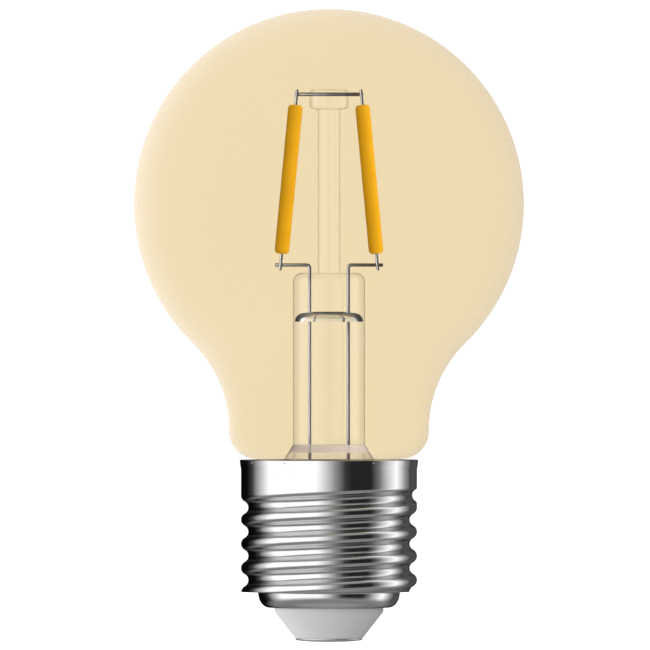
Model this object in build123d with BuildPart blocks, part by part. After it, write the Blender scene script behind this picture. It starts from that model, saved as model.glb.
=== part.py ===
from build123d import *
from math import acos, atan2, cos, degrees, hypot, pi, radians, tan
import os

# A smart LED filament bulb with a screw cap. Millimetres, +Z up. The origin is the middle of the
# centre contact's face, so the bulb stands on its cap, and -Y is its front.

# Glass bulb
GLOBE_R = 29.25
GLOBE_Z = 65.65
BULB_WALL = 0.7
WAIST_R = 15.0
WAIST_Z = 31.8
SEAT_ROUND_R = 4.2
SEAT_Z = 31.6
NECK_ROUND_R = 0.5
NECK_END_Z = 19.8

# Stem: flare, tube, press and exhaust tube
STEM_R = 5.4
STEM_WALL = 1.0
STEM_TOP_Z = 55.3
STEM_TOP_ROUND = 1.3
PRESS_Z = 49.5
PRESS_FLAT_R = 1.9
PRESS_SAG = 0.7
PRESS_CORNER = 0.6
FLARE_TOP_Z = 29.55
FLARE_ANGLE = 31
EXHAUST_R = 1.6
EXHAUST_WALL = 0.6
EXHAUST_TIP_Z = 20.1

# Centre rod and the wires that hold the filaments
ROD_R = 1.67
BUTTON_R = 2.9
BUTTON_Z = 79.9
BUTTON_TOP_Z = 82.8
BUTTON_ROUND = 0.55
CROSSBAR_R = 0.28
CROSSBAR_Z = 82.1
CROSSBAR_HALF = 5.13
LEAD_R = 0.25
LEAD_X = 2.9
LEAD_ARM_Z = 56.5
LEAD_ARM_END_X = 8.1
LEAD_BEND_R = 0.45
SEAL_TOP_Z = 54.3
SEAL_FOOT_Z = 48.7
TAIL_END_Z = 17.4

# Filaments
COAT_R = 1.1
COAT_ROUND = 0.45
FILAMENT_HEAD_X = 4.95
FILAMENT_HEAD_Z = 80.5
FILAMENT_FOOT_X = 7.15
FILAMENT_FOOT_Z = 58.2
PIN_R = 0.225
PIN_HEAD_LENGTH = 2.3
PIN_FOOT_LENGTH = 2.5
PIN_INSIDE = 1.0
STRIP_WIDTH = 0.9
STRIP_THICKNESS = 0.4
CHIP_LENGTH = 0.5
CHIP_WIDTH = 0.3
CHIP_THICKNESS = 0.12
CHIP_PITCH = 0.75
CHIP_COUNT = 27

# Screw shell, a 27 mm lamp cap pressed from thin sheet
SHEET = 0.3
THREAD_PITCH = 3.629
THREAD_MAJOR_R = 13.2
THREAD_MINOR_R = 12.1
CREST_TRIM = 0.035
CREST_OVERRUN = 0.025
GROOVE_Z_LEFT = 20.12
GROOVE_END_ANGLE = 380
GROOVE_TURNS_BELOW = 4
GROOVE_END_WALL = 0.4
RIM_Z = 27.3
LIP_R = 13.4
LIP_FOOT_Z = 25.8
LEDGE_Z = 7.45
SHOULDER_R = 10.65
SHOULDER_ROUND = 1.65
SHELL_FLOOR_Z = 5.1
SHELL_HOLE_R = 7.5
PUNCH_COUNT = 12
PUNCH_R = 0.25
PUNCH_DEPTH = 0.16
PUNCH_Z = 26.9

# Insulator, centre contact, cement and liner
INSULATOR_R = 8.2
INSULATOR_CONE_Z = 4.55
INSULATOR_TIP_R = 5.1
INSULATOR_FLANGE_R = 8.9
INSULATOR_TOP_Z = 6.35
CONTACT_R = 5.05
CONTACT_THICKNESS = 0.5
CONTACT_FLAT_R = 2.5
CONTACT_EDGE_RISE = 0.2
SHANK_R = 1.3
SHANK_TOP_Z = 7.5
CEMENT_FOOT_Z = 20.2
CEMENT_STEP_Z = 24.2
CEMENT_TOP_Z = 26.9
SLEEVE_R = 10.2
SLEEVE_WALL = 0.8
SLEEVE_TOP_Z = 19.2
SLEEVE_HOLE_R = 2.0
RIB_WIDTH = 0.8
RIB_INNER_X = 7.8
RIB_OUTER_X = 9.6

# Driver and radio boards
BOARD_THICKNESS = 1.0
BOARD_BACK_Y = -LEAD_R
BOARD_FRONT_Y = BOARD_BACK_Y - BOARD_THICKNESS
BOARD_WIDTH = 16.8
BOARD_FOOT_Z = 8.3
BOARD_TOP_Z = 18.8
RADIO_BOARD_Y = 3.4
RADIO_BOARD_THICKNESS = 0.8
RADIO_BOARD_WIDTH = 12.0
RADIO_BOARD_FOOT_Z = 8.6
RADIO_BOARD_TOP_Z = 18.7
CAPACITOR_R = 2.5
CAPACITOR_X = -4.2
CAPACITOR_FOOT_Z = 9.8
CAPACITOR_LENGTH = 8.0
INDUCTOR_X = 3.4
INDUCTOR_Z = 12.2
INDUCTOR_R = 2.3
INDUCTOR_HEIGHT = 4.0
INDUCTOR_FLANGE = 0.6
RESISTOR_R = 0.9
RESISTOR_LENGTH = 5.0
RESISTOR_X = 3.6
RESISTOR_Z = 17.0
NEUTRAL_R = 0.2
ANTENNA_R = 0.25

WAIST_ROUND_R = (GLOBE_R**2 - WAIST_R**2 - (GLOBE_Z - WAIST_Z) ** 2) / (2 * (WAIST_R - GLOBE_R))
WAIST_ANGLE = degrees(atan2(GLOBE_Z - WAIST_Z, WAIST_R + WAIST_ROUND_R))
SEAT_CENTRE_R = WAIST_R - SEAT_ROUND_R
SEAT_LOW_Z = SEAT_Z - SEAT_ROUND_R
NECK_R = SEAT_CENTRE_R - NECK_ROUND_R
NECK_BORE_R = NECK_R - BULB_WALL
SIDES = {"left": -1, "right": 1}

os.makedirs("parts", exist_ok=True)


def save(piece, name):
    """Labels a finished piece and writes it as a STEP file."""
    piece.part.label = name
    export_step(piece.part, f"parts/{name}.step")


# The glass bulb


def bulb_outline(inset):
    """Half outline of the bulb from its crown to the end of its neck, set inwards by the inset."""
    CenterArc((0, GLOBE_Z), GLOBE_R - inset, 90, -90 - WAIST_ANGLE)
    waist_centre = (WAIST_R + WAIST_ROUND_R, WAIST_Z)
    waist = CenterArc(waist_centre, WAIST_ROUND_R + inset, 180 - WAIST_ANGLE, WAIST_ANGLE)
    seat = CenterArc((SEAT_CENTRE_R, SEAT_Z), SEAT_ROUND_R - inset, 0, -90)
    Line(waist @ 1, seat @ 0)
    neck = CenterArc((SEAT_CENTRE_R, SEAT_LOW_Z - NECK_ROUND_R), NECK_ROUND_R + inset, 90, 90)
    Line(neck @ 1, (NECK_R - inset, NECK_END_Z))


with BuildPart() as glass_envelope:
    with BuildSketch(Plane.XZ):
        with BuildLine():
            bulb_outline(0)
            bulb_outline(BULB_WALL)
            Line((0, GLOBE_Z + GLOBE_R), (0, GLOBE_Z + GLOBE_R - BULB_WALL))
            Line((NECK_R, NECK_END_Z), (NECK_BORE_R, NECK_END_Z))
        make_face()
    revolve(axis=Axis.Z)
save(glass_envelope, "glass_envelope")

# The stem: a tube that flares out to the neck, closed at its top by the press

flare_slope = tan(radians(FLARE_ANGLE))
flare_rim_bore = NECK_BORE_R - STEM_WALL
stem_bore = STEM_R - STEM_WALL
flare_inset = STEM_WALL / cos(radians(FLARE_ANGLE))
flare_outer_z = FLARE_TOP_Z - (NECK_BORE_R - STEM_R) / flare_slope
flare_bore_top_z = FLARE_TOP_Z - (stem_bore - STEM_R + flare_inset) / flare_slope
flare_bore_foot_z = FLARE_TOP_Z - (flare_rim_bore - STEM_R + flare_inset) / flare_slope

with BuildPart() as stem_flare_tube:
    with BuildSketch(Plane.XZ):
        with BuildLine():
            shoulder_centre = (STEM_R - STEM_TOP_ROUND, STEM_TOP_Z - STEM_TOP_ROUND)
            shoulder = CenterArc(shoulder_centre, STEM_TOP_ROUND, 90, -90)
            Polyline(
                shoulder @ 1,
                (STEM_R, FLARE_TOP_Z),
                (NECK_BORE_R, flare_outer_z),
                (NECK_BORE_R, NECK_END_Z),
                (flare_rim_bore, NECK_END_Z),
                (flare_rim_bore, flare_bore_foot_z),
                (stem_bore, flare_bore_top_z),
                (stem_bore, PRESS_Z - PRESS_SAG - PRESS_CORNER),
            )
            corner_centre = (stem_bore - PRESS_CORNER, PRESS_Z - PRESS_SAG - PRESS_CORNER)
            corner = CenterArc(corner_centre, PRESS_CORNER, 0, 90)
            Polyline(corner @ 1, (PRESS_FLAT_R, PRESS_Z), (0, PRESS_Z), (0, STEM_TOP_Z), shoulder @ 0)
        make_face()
    revolve(axis=Axis.Z)
    with BuildSketch(Plane.XY.offset(PRESS_Z - PRESS_SAG - PRESS_CORNER)):
        with GridLocations(2 * LEAD_X, 0, 2, 1):
            Circle(LEAD_R)
    extrude(until=Until.LAST, mode=Mode.SUBTRACT)
save(stem_flare_tube, "stem_flare_tube")

with BuildPart() as exhaust_tube:
    with BuildSketch(Plane.XZ):
        with BuildLine():
            tip = CenterArc((0, EXHAUST_TIP_Z + EXHAUST_R), EXHAUST_R, -90, 90)
            bore_r = EXHAUST_R - EXHAUST_WALL
            bore_tip = CenterArc((0, EXHAUST_TIP_Z + EXHAUST_R), bore_r, -90, 90)
            Polyline(tip @ 1, (EXHAUST_R, PRESS_Z), (bore_r, PRESS_Z), bore_tip @ 1)
            Line(tip @ 0, bore_tip @ 0)
        make_face()
    revolve(axis=Axis.Z)
save(exhaust_tube, "exhaust_tube")

# The centre rod, its button and the crossbar through the button

CROSSBAR_Y = CROSSBAR_R - LEAD_R
with BuildPart() as centre_rod:
    with BuildSketch(Plane.XY.offset(STEM_TOP_Z)):
        Circle(ROD_R)
    extrude(amount=BUTTON_Z - STEM_TOP_Z)
    with BuildSketch(Plane.XY.offset(BUTTON_Z)):
        Circle(BUTTON_R)
    extrude(amount=BUTTON_TOP_Z - BUTTON_Z)
    button_rims = centre_rod.edges().filter_by(GeomType.CIRCLE).filter_by(lambda e: e.radius > ROD_R)
    fillet(button_rims, BUTTON_ROUND)
    with BuildSketch(Plane.YZ):
        with Locations((CROSSBAR_Y, CROSSBAR_Z)):
            Circle(CROSSBAR_R)
    extrude(amount=BUTTON_R, both=True, mode=Mode.SUBTRACT)
save(centre_rod, "centre_rod")

with BuildPart() as top_support_wire:
    with BuildSketch(Plane.YZ):
        with Locations((CROSSBAR_Y, CROSSBAR_Z)):
            Circle(CROSSBAR_R)
    extrude(amount=CROSSBAR_HALF, both=True)
save(top_support_wire, "top_support_wire")

# Wires. A bent wire is straight runs joined by tangent arcs.


def bent_wire(points, radius, bend, name):
    """Sweeps a round wire of the given radius along the points, with every corner bent alike."""
    with BuildPart() as wire:
        with BuildLine() as route:
            FilletPolyline(*points, radius=bend)
        with BuildSketch(Plane(origin=route.line @ 0, z_dir=route.line % 0)):
            Circle(radius)
        sweep()
    save(wire, name)
    return wire


def upright_wire(x, foot_z, top_z, radius, name):
    """A straight upright wire in the plane of the leads."""
    with BuildPart() as wire:
        with BuildSketch(Plane.XY.offset(foot_z)):
            with Locations((x, 0)):
                Circle(radius)
        extrude(amount=top_z - foot_z)
    save(wire, name)
    return wire


tail_wires = []
for side, sign in SIDES.items():
    x = sign * LEAD_X
    arm = [(x, 0, SEAL_TOP_Z), (x, 0, LEAD_ARM_Z), (sign * LEAD_ARM_END_X, 0, LEAD_ARM_Z)]
    bent_wire(arm, LEAD_R, LEAD_BEND_R, f"lead_wire_{side}")
    upright_wire(x, SEAL_FOOT_Z, SEAL_TOP_Z, LEAD_R, f"seal_wire_{side}")
    tail_wires.append(upright_wire(x, TAIL_END_Z, SEAL_FOOT_Z, LEAD_R, f"tail_wire_{side}"))

# Filaments: a strip with a row of LED chips, a pin at each end, and a yellow coat over them all

FILAMENT_LENGTH = hypot(FILAMENT_HEAD_X - FILAMENT_FOOT_X, FILAMENT_HEAD_Z - FILAMENT_FOOT_Z)
FILAMENT_Y = -PIN_R - LEAD_R
STRIP_LENGTH = FILAMENT_LENGTH - 2 * PIN_INSIDE


def filament_pin(plane, length, name):
    """A round end pin that starts at the strip's end and stands out of the coat."""
    with BuildPart() as pin:
        with BuildSketch(plane):
            Circle(PIN_R)
        extrude(amount=PIN_INSIDE + length)
    save(pin, name)
    return pin


def filament(side, sign):
    """Builds the five kinds of piece of one filament, which leans in towards its top."""
    foot = Vector(sign * FILAMENT_FOOT_X, FILAMENT_Y, FILAMENT_FOOT_Z)
    head = Vector(sign * FILAMENT_HEAD_X, FILAMENT_Y, FILAMENT_HEAD_Z)
    front = (0, -1, 0)
    up = Plane(origin=foot, x_dir=front, z_dir=head - foot)
    strip_foot = up.offset(PIN_INSIDE)
    strip_head = up.offset(FILAMENT_LENGTH - PIN_INSIDE)
    chip_face = Plane(
        origin=up.offset(FILAMENT_LENGTH / 2).origin + Vector(front) * (STRIP_THICKNESS / 2),
        x_dir=head - foot,
        z_dir=front,
    )
    with BuildPart() as strip:
        with BuildSketch(strip_foot):
            Rectangle(STRIP_THICKNESS, STRIP_WIDTH)
        extrude(amount=STRIP_LENGTH)
    save(strip, f"filament_{side}_strip")
    with BuildPart() as chips:
        with BuildSketch(chip_face):
            with GridLocations(CHIP_PITCH, 0, CHIP_COUNT, 1):
                Rectangle(CHIP_LENGTH, CHIP_WIDTH)
        extrude(amount=CHIP_THICKNESS)
    save(chips, f"filament_{side}_chips")
    top_pin = filament_pin(strip_head, PIN_HEAD_LENGTH, f"filament_{side}_top_pin")
    downwards = Plane(origin=strip_foot.origin, x_dir=front, z_dir=foot - head)
    bottom_pin = filament_pin(downwards, PIN_FOOT_LENGTH, f"filament_{side}_bottom_pin")
    with BuildPart() as coating:
        with BuildSketch(up):
            Circle(COAT_R)
        extrude(amount=FILAMENT_LENGTH)
        fillet(coating.edges().filter_by(GeomType.CIRCLE), COAT_ROUND)
        for inner in (strip, chips, top_pin, bottom_pin):
            add(inner.part, mode=Mode.SUBTRACT)
    save(coating, f"filament_{side}_coating")


for side, sign in SIDES.items():
    filament(side, sign)

# The screw shell. Its thread is a rounded groove whose root and crests are equal arcs, and the
# sheet follows the groove, so the inside carries the same groove set in by the sheet.

thread_depth = THREAD_MAJOR_R - THREAD_MINOR_R
half_pitch = THREAD_PITCH / 2
thread_round = (thread_depth**2 + half_pitch**2) / (4 * thread_depth)
root_centre_r = THREAD_MINOR_R + thread_round
crest_centre_r = THREAD_MAJOR_R - thread_round
groove_start_z = GROOVE_Z_LEFT - THREAD_PITCH * (GROOVE_TURNS_BELOW + 0.5)
groove_rise = THREAD_PITCH * (GROOVE_TURNS_BELOW + GROOVE_END_ANGLE / 360)


def groove_section(wall):
    """Closed section of the groove from crest to crest, grown by the wall that lies under it.

    The crests are trimmed a little below their tops, and the section runs a little past the trim.
    """
    flank = degrees(atan2(half_pitch, root_centre_r - crest_centre_r))
    CenterArc((root_centre_r, groove_start_z), thread_round + wall, 180 - flank, 2 * flank)
    crest_r = thread_round - wall
    crest_end = degrees(acos(1 - (CREST_TRIM - CREST_OVERRUN) / crest_r))
    upper_centre = (crest_centre_r, groove_start_z + half_pitch)
    upper = CenterArc(upper_centre, crest_r, -flank, flank - crest_end)
    lower_centre = (crest_centre_r, groove_start_z - half_pitch)
    lower = CenterArc(lower_centre, crest_r, flank, crest_end - flank)
    outside_r = LIP_R + SHEET
    Polyline(upper @ 1, (outside_r, (upper @ 1).Y), (outside_r, (lower @ 1).Y), lower @ 1)


def cut_groove(wall, rise):
    """Cuts the groove, grown by the wall, out of the part that is being built."""
    with BuildLine() as path:
        Helix(THREAD_PITCH, rise, root_centre_r, center=(0, 0, groove_start_z))
    with BuildSketch(Plane.XZ) as section:
        with BuildLine():
            groove_section(wall)
        make_face()
    sweep(section.sketch, path=path.wire(), is_frenet=True, mode=Mode.SUBTRACT)


def round_bottom_ring(radius, rounding, foot_z, top_z):
    """Solid of revolution with an upright side and a rounded bottom edge."""
    with BuildSketch(Plane.XZ) as section:
        with BuildLine():
            edge = CenterArc((radius - rounding, foot_z + rounding), rounding, 0, -90)
            Polyline(edge @ 1, (0, foot_z), (0, top_z), (radius, top_z), edge @ 0)
        make_face()
    revolve(section.sketch, axis=Axis.Z)


with BuildPart() as shell_hollow:
    with BuildSketch(Plane.XY.offset(LEDGE_Z + SHEET)):
        Circle(THREAD_MAJOR_R - SHEET - CREST_TRIM)
    extrude(amount=RIM_Z - LEDGE_Z)
    end_wall_rise = THREAD_PITCH * GROOVE_END_WALL / (2 * pi * THREAD_MINOR_R)
    cut_groove(SHEET, groove_rise + end_wall_rise)
    round_bottom_ring(SHOULDER_R - SHEET, SHOULDER_ROUND - SHEET, SHELL_FLOOR_Z + SHEET, LEDGE_Z + SHEET)
    with BuildSketch(Plane.XY):
        Circle(SHELL_HOLE_R)
    extrude(amount=SHELL_FLOOR_Z + SHEET)

with BuildPart() as screw_shell:
    with BuildSketch(Plane.XZ):
        with BuildLine():
            body_r = THREAD_MAJOR_R - CREST_TRIM
            Polyline(
                (0, LEDGE_Z),
                (body_r, LEDGE_Z),
                (body_r, LIP_FOOT_Z),
                (LIP_R, RIM_Z),
                (0, RIM_Z),
                close=True,
            )
        make_face()
    revolve(axis=Axis.Z)
    cut_groove(0, groove_rise)
    round_bottom_ring(SHOULDER_R, SHOULDER_ROUND, SHELL_FLOOR_Z, LEDGE_Z)
    add(shell_hollow.part, mode=Mode.SUBTRACT)
    with Locations((0, 0, PUNCH_Z)):
        with PolarLocations(LIP_R + PUNCH_R - PUNCH_DEPTH, PUNCH_COUNT):
            Sphere(PUNCH_R, mode=Mode.SUBTRACT)
save(screw_shell, "screw_shell")

# Insulator and centre contact. The insulator grips the edge of the hole in the shell's floor.

with BuildPart() as base_insulator:
    with BuildSketch(Plane.XZ):
        with BuildLine():
            Polyline(
                (SHANK_R, CONTACT_THICKNESS),
                (INSULATOR_TIP_R, CONTACT_THICKNESS),
                (INSULATOR_R, INSULATOR_CONE_Z),
                (INSULATOR_R, SHELL_FLOOR_Z),
                (SHELL_HOLE_R, SHELL_FLOOR_Z),
                (SHELL_HOLE_R, SHELL_FLOOR_Z + SHEET),
                (INSULATOR_FLANGE_R, SHELL_FLOOR_Z + SHEET),
                (INSULATOR_FLANGE_R, INSULATOR_TOP_Z),
                (SHANK_R, INSULATOR_TOP_Z),
                close=True,
            )
        make_face()
    revolve(axis=Axis.Z)
save(base_insulator, "base_insulator")

with BuildPart() as centre_contact:
    with BuildSketch(Plane.XZ):
        with BuildLine():
            Polyline(
                (0, 0),
                (CONTACT_FLAT_R, 0),
                (CONTACT_R, CONTACT_EDGE_RISE),
                (CONTACT_R, CONTACT_THICKNESS),
                (SHANK_R, CONTACT_THICKNESS),
                (SHANK_R, SHANK_TOP_Z),
                (0, SHANK_TOP_Z),
                close=True,
            )
        make_face()
    revolve(axis=Axis.Z)
save(centre_contact, "centre_contact")

# Cement between the neck and the shell, and the plastic liner that holds the driver board

with BuildPart() as basing_cement:
    with BuildSketch(Plane.XY.offset(CEMENT_FOOT_Z)):
        Circle(THREAD_MINOR_R - SHEET - 0.05)
        Circle(NECK_R, mode=Mode.SUBTRACT)
    extrude(amount=CEMENT_STEP_Z - CEMENT_FOOT_Z)
    with BuildSketch(Plane.XY.offset(CEMENT_STEP_Z)):
        Circle(THREAD_MAJOR_R - SHEET - 2 * CREST_TRIM)
        Circle(NECK_R, mode=Mode.SUBTRACT)
    extrude(amount=CEMENT_TOP_Z - CEMENT_STEP_Z)
save(basing_cement, "basing_cement")

with BuildPart() as driver_sleeve:
    with BuildSketch(Plane.XY.offset(INSULATOR_TOP_Z)):
        Circle(SLEEVE_R)
    extrude(amount=SLEEVE_TOP_Z - INSULATOR_TOP_Z)
    with BuildSketch(Plane.XY.offset(INSULATOR_TOP_Z + SLEEVE_WALL)):
        Circle(SLEEVE_R - SLEEVE_WALL)
    extrude(amount=SLEEVE_TOP_Z - INSULATOR_TOP_Z, mode=Mode.SUBTRACT)
    with BuildSketch(Plane.XY.offset(INSULATOR_TOP_Z)):
        Circle(SLEEVE_HOLE_R)
    extrude(amount=SLEEVE_WALL, mode=Mode.SUBTRACT)
    with BuildSketch(Plane.XY.offset(INSULATOR_TOP_Z + SLEEVE_WALL)):
        with Locations((0, (BOARD_FRONT_Y + BOARD_BACK_Y) / 2)):
            rib_spacing_x = RIB_INNER_X + RIB_OUTER_X
            with GridLocations(rib_spacing_x, BOARD_THICKNESS + RIB_WIDTH, 2, 2):
                Rectangle(RIB_OUTER_X - RIB_INNER_X, RIB_WIDTH)
    extrude(amount=BOARD_TOP_Z - INSULATOR_TOP_Z - SLEEVE_WALL)
save(driver_sleeve, "driver_sleeve")

# The driver board and what is soldered to it. Its front and back faces carry planes whose second
# direction is up.

front_face = Plane(origin=(0, BOARD_FRONT_Y, 0), x_dir=(1, 0, 0), z_dir=(0, -1, 0))
back_face = Plane(origin=(0, BOARD_BACK_Y, 0), x_dir=(-1, 0, 0), z_dir=(0, 1, 0))
radio_face = Plane(
    origin=(0, RADIO_BOARD_Y + RADIO_BOARD_THICKNESS, 0), x_dir=(-1, 0, 0), z_dir=(0, 1, 0)
)


def board(face, width, foot_z, top_z, thickness, name):
    """A circuit board whose outer face lies in the given plane."""
    with BuildPart() as plate:
        with BuildSketch(face):
            with Locations((0, (foot_z + top_z) / 2)):
                Rectangle(width, top_z - foot_z)
        extrude(amount=-thickness)
    save(plate, name)


board(back_face, BOARD_WIDTH, BOARD_FOOT_Z, BOARD_TOP_Z, BOARD_THICKNESS, "driver_board")
board(
    radio_face,
    RADIO_BOARD_WIDTH,
    RADIO_BOARD_FOOT_Z,
    RADIO_BOARD_TOP_Z,
    RADIO_BOARD_THICKNESS,
    "radio_board",
)

LEG_THICKNESS = 0.2


def legged_chip(face, place, size, legs, name):
    """A moulded chip with a row of flat legs along each of its upright sides."""
    width, height, thickness = size
    rows, pitch, leg_length, leg_width = legs
    with BuildPart() as chip:
        with BuildSketch(face):
            with Locations(place):
                Rectangle(width, height)
        body = extrude(amount=thickness)
        chamfer(body.faces().sort_by(Axis.Y)[-1].edges(), 0.2)
        with BuildSketch(face):
            with Locations(place):
                with GridLocations(width + leg_length, pitch, 2, rows):
                    Rectangle(leg_length, leg_width)
        extrude(amount=LEG_THICKNESS)
    save(chip, name)


legged_chip(back_face, (4.3, 13.4), (3.9, 4.9, 1.5), (4, 1.27, 0.8, 0.42), "led_driver_chip")
legged_chip(back_face, (-3.9, 13.6), (3.8, 4.7, 1.6), (2, 2.54, 0.9, 0.6), "bridge_rectifier")
legged_chip(radio_face, (1.6, 12.6), (4.6, 4.6, 0.8), (6, 0.7, 0.2, 0.3), "radio_chip")

with BuildPart() as radio_crystal:
    with BuildSketch(radio_face):
        with Locations((-2.9, 12.6)):
            RectangleRounded(2.0, 2.5, 0.3)
    extrude(amount=0.6)
save(radio_crystal, "radio_crystal")

SHIELD_WALL = 0.2
SHIELD_PLACE = (0, 12.6)
SHIELD_SIZE = (9.6, 6.8)
SHIELD_HEIGHT = 1.3

with BuildPart() as radio_shield_can:
    with BuildSketch(radio_face):
        with Locations(SHIELD_PLACE):
            RectangleRounded(*SHIELD_SIZE, 0.5)
    extrude(amount=SHIELD_HEIGHT)
    with BuildSketch(radio_face):
        with Locations(SHIELD_PLACE):
            RectangleRounded(SHIELD_SIZE[0] - 2 * SHIELD_WALL, SHIELD_SIZE[1] - 2 * SHIELD_WALL, 0.3)
    extrude(amount=SHIELD_HEIGHT - SHIELD_WALL, mode=Mode.SUBTRACT)
save(radio_shield_can, "radio_shield_can")

CAPACITOR_LEG_R = 0.25
CAPACITOR_LEG_SPACING = 2.0
CAPACITOR_CRIMP_R = 0.25
capacitor_y = BOARD_FRONT_Y - CAPACITOR_R

with BuildPart() as bulk_capacitor:
    with BuildSketch(Plane.XY.offset(CAPACITOR_FOOT_Z)):
        with Locations((CAPACITOR_X, capacitor_y)):
            Circle(CAPACITOR_R)
    extrude(amount=CAPACITOR_LENGTH)
    fillet(bulk_capacitor.edges().filter_by(GeomType.CIRCLE), 0.3)
    with Locations((CAPACITOR_X, capacitor_y, CAPACITOR_FOOT_Z + 1.2)):
        Torus(CAPACITOR_R + 0.05, CAPACITOR_CRIMP_R, mode=Mode.SUBTRACT)
    leg_top_z = CAPACITOR_FOOT_Z + 0.1
    leg_foot_z = CAPACITOR_FOOT_Z - 2 * CAPACITOR_LEG_R
    with BuildSketch(front_face):
        with Locations((CAPACITOR_X, (leg_top_z + leg_foot_z) / 2)):
            with GridLocations(CAPACITOR_LEG_SPACING, 0, 2, 1):
                Rectangle(2 * CAPACITOR_LEG_R, leg_top_z - leg_foot_z)
    extrude(amount=CAPACITOR_R + CAPACITOR_LEG_R)
save(bulk_capacitor, "bulk_capacitor")

INDUCTOR_CORE_R = 1.1
INDUCTOR_WIRE_R = 2.0

with BuildPart() as inductor_core:
    for depth, radius, height in (
        (0, INDUCTOR_R, INDUCTOR_FLANGE),
        (INDUCTOR_FLANGE, INDUCTOR_CORE_R, INDUCTOR_HEIGHT - 2 * INDUCTOR_FLANGE),
        (INDUCTOR_HEIGHT - INDUCTOR_FLANGE, INDUCTOR_R, INDUCTOR_FLANGE),
    ):
        with BuildSketch(front_face.offset(depth)):
            with Locations((INDUCTOR_X, INDUCTOR_Z)):
                Circle(radius)
        extrude(amount=height)
save(inductor_core, "inductor_core")

with BuildPart() as inductor_winding:
    with BuildSketch(front_face.offset(INDUCTOR_FLANGE)):
        with Locations((INDUCTOR_X, INDUCTOR_Z)):
            Circle(INDUCTOR_WIRE_R)
            Circle(INDUCTOR_CORE_R, mode=Mode.SUBTRACT)
    extrude(amount=INDUCTOR_HEIGHT - 2 * INDUCTOR_FLANGE)
save(inductor_winding, "inductor_winding")

RESISTOR_LEG = 0.7
resistor_y = BOARD_FRONT_Y - RESISTOR_R - 0.1

with BuildPart() as fusible_resistor:
    with BuildLine():
        leg_x = RESISTOR_LENGTH / 2 + RESISTOR_LEG
        FilletPolyline(
            (RESISTOR_X - leg_x, BOARD_FRONT_Y, RESISTOR_Z),
            (RESISTOR_X - leg_x, resistor_y, RESISTOR_Z),
            (RESISTOR_X + leg_x, resistor_y, RESISTOR_Z),
            (RESISTOR_X + leg_x, BOARD_FRONT_Y, RESISTOR_Z),
            radius=0.4,
        )
    with BuildSketch(front_face):
        with Locations((RESISTOR_X - leg_x, RESISTOR_Z)):
            Circle(0.2)
    sweep()
    resistor_end = Plane(origin=(RESISTOR_X - RESISTOR_LENGTH / 2, resistor_y, RESISTOR_Z), z_dir=(1, 0, 0))
    with BuildSketch(resistor_end):
        Circle(RESISTOR_R)
    extrude(amount=RESISTOR_LENGTH)
    resistor_rims = fusible_resistor.edges().filter_by(lambda e: e.length > 2 * pi * RESISTOR_R - 0.1)
    fillet(resistor_rims, 0.35)
save(fusible_resistor, "fusible_resistor")


def flat_parts(face, places, size, name):
    """A group of equal surface-mounted parts on one face of a board."""
    width, height, thickness = size
    with BuildPart() as group:
        with BuildSketch(face):
            with Locations(*places):
                Rectangle(width, height)
        extrude(amount=thickness)
    save(group, name)


flat_parts(
    back_face,
    [(0.2, 11.4), (0.2, 12.9), (0.2, 14.4), (-5.6, 9.8), (2.2, 9.8), (-2.6, 9.8)],
    (1.6, 0.8, 0.45),
    "smd_resistors",
)
flat_parts(
    radio_face,
    [(-3.6, 17.2), (-1.2, 17.2), (1.3, 17.2), (5.2, 17.2)],
    (1.0, 0.9, 0.5),
    "smd_capacitors",
)

LINK_PIN_WIDTH = 0.5

with BuildPart() as board_link_pins:
    with BuildSketch(back_face):
        with Locations((5.0, 9.7)):
            with GridLocations(1.27, 0, 3, 1):
                Rectangle(LINK_PIN_WIDTH, LINK_PIN_WIDTH)
    extrude(amount=RADIO_BOARD_Y - BOARD_BACK_Y)
save(board_link_pins, "board_link_pins")

bent_wire(
    [(-3.3, 4.45, 16.6), (-3.3, 4.45, 20.4), (-2.2, 3.4, 22.0), (-2.2, 3.4, 25.8)],
    ANTENNA_R,
    1.0,
    "radio_antenna",
)

# The leads to the cap's two contacts

upright_wire(0, SHANK_TOP_Z, 10.2, LEAD_R, "live_lead")

NEUTRAL_Y = BOARD_BACK_Y + NEUTRAL_R
NEUTRAL_OVER_Z = (SLEEVE_TOP_Z + NECK_END_Z) / 2
NEUTRAL_BOARD_X = -7.3
NEUTRAL_SHELL_X = -11.5
bent_wire(
    [
        (NEUTRAL_BOARD_X, NEUTRAL_Y, 17.4),
        (NEUTRAL_BOARD_X, NEUTRAL_Y, NEUTRAL_OVER_Z),
        (NEUTRAL_SHELL_X, NEUTRAL_Y, NEUTRAL_OVER_Z),
        (NEUTRAL_SHELL_X, NEUTRAL_Y, 15.5),
    ],
    NEUTRAL_R,
    0.5,
    "neutral_lead",
)

# Solder where the two tail wires lie on the back of the driver board

SOLDER_R = 0.8

with BuildPart() as solder_joints:
    with Locations((-LEAD_X, BOARD_BACK_Y, BOARD_TOP_Z - 1), (LEAD_X, BOARD_BACK_Y, BOARD_TOP_Z - 1)):
        Sphere(SOLDER_R)
    split(bisect_by=Plane(origin=(0, BOARD_BACK_Y, 0), z_dir=(0, 1, 0)), keep=Keep.TOP)
    for tail in tail_wires:
        add(tail.part, mode=Mode.SUBTRACT)
save(solder_joints, "solder_joints")
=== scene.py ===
"""A smart LED filament bulb with a screw cap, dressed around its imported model.

The glass, the stem, the filaments, the screw cap and the foot are turned or swept here from their own
sizes, in metres, on the bulb's axis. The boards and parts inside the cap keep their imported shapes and
get their own finishes. -Y is the bulb's front and +Z is up.
"""

from __future__ import annotations

import logging
import math
from dataclasses import dataclass, field
from enum import Enum, IntEnum
from typing import Sequence

import bmesh
import bpy
from mathutils import Matrix, Vector


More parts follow.
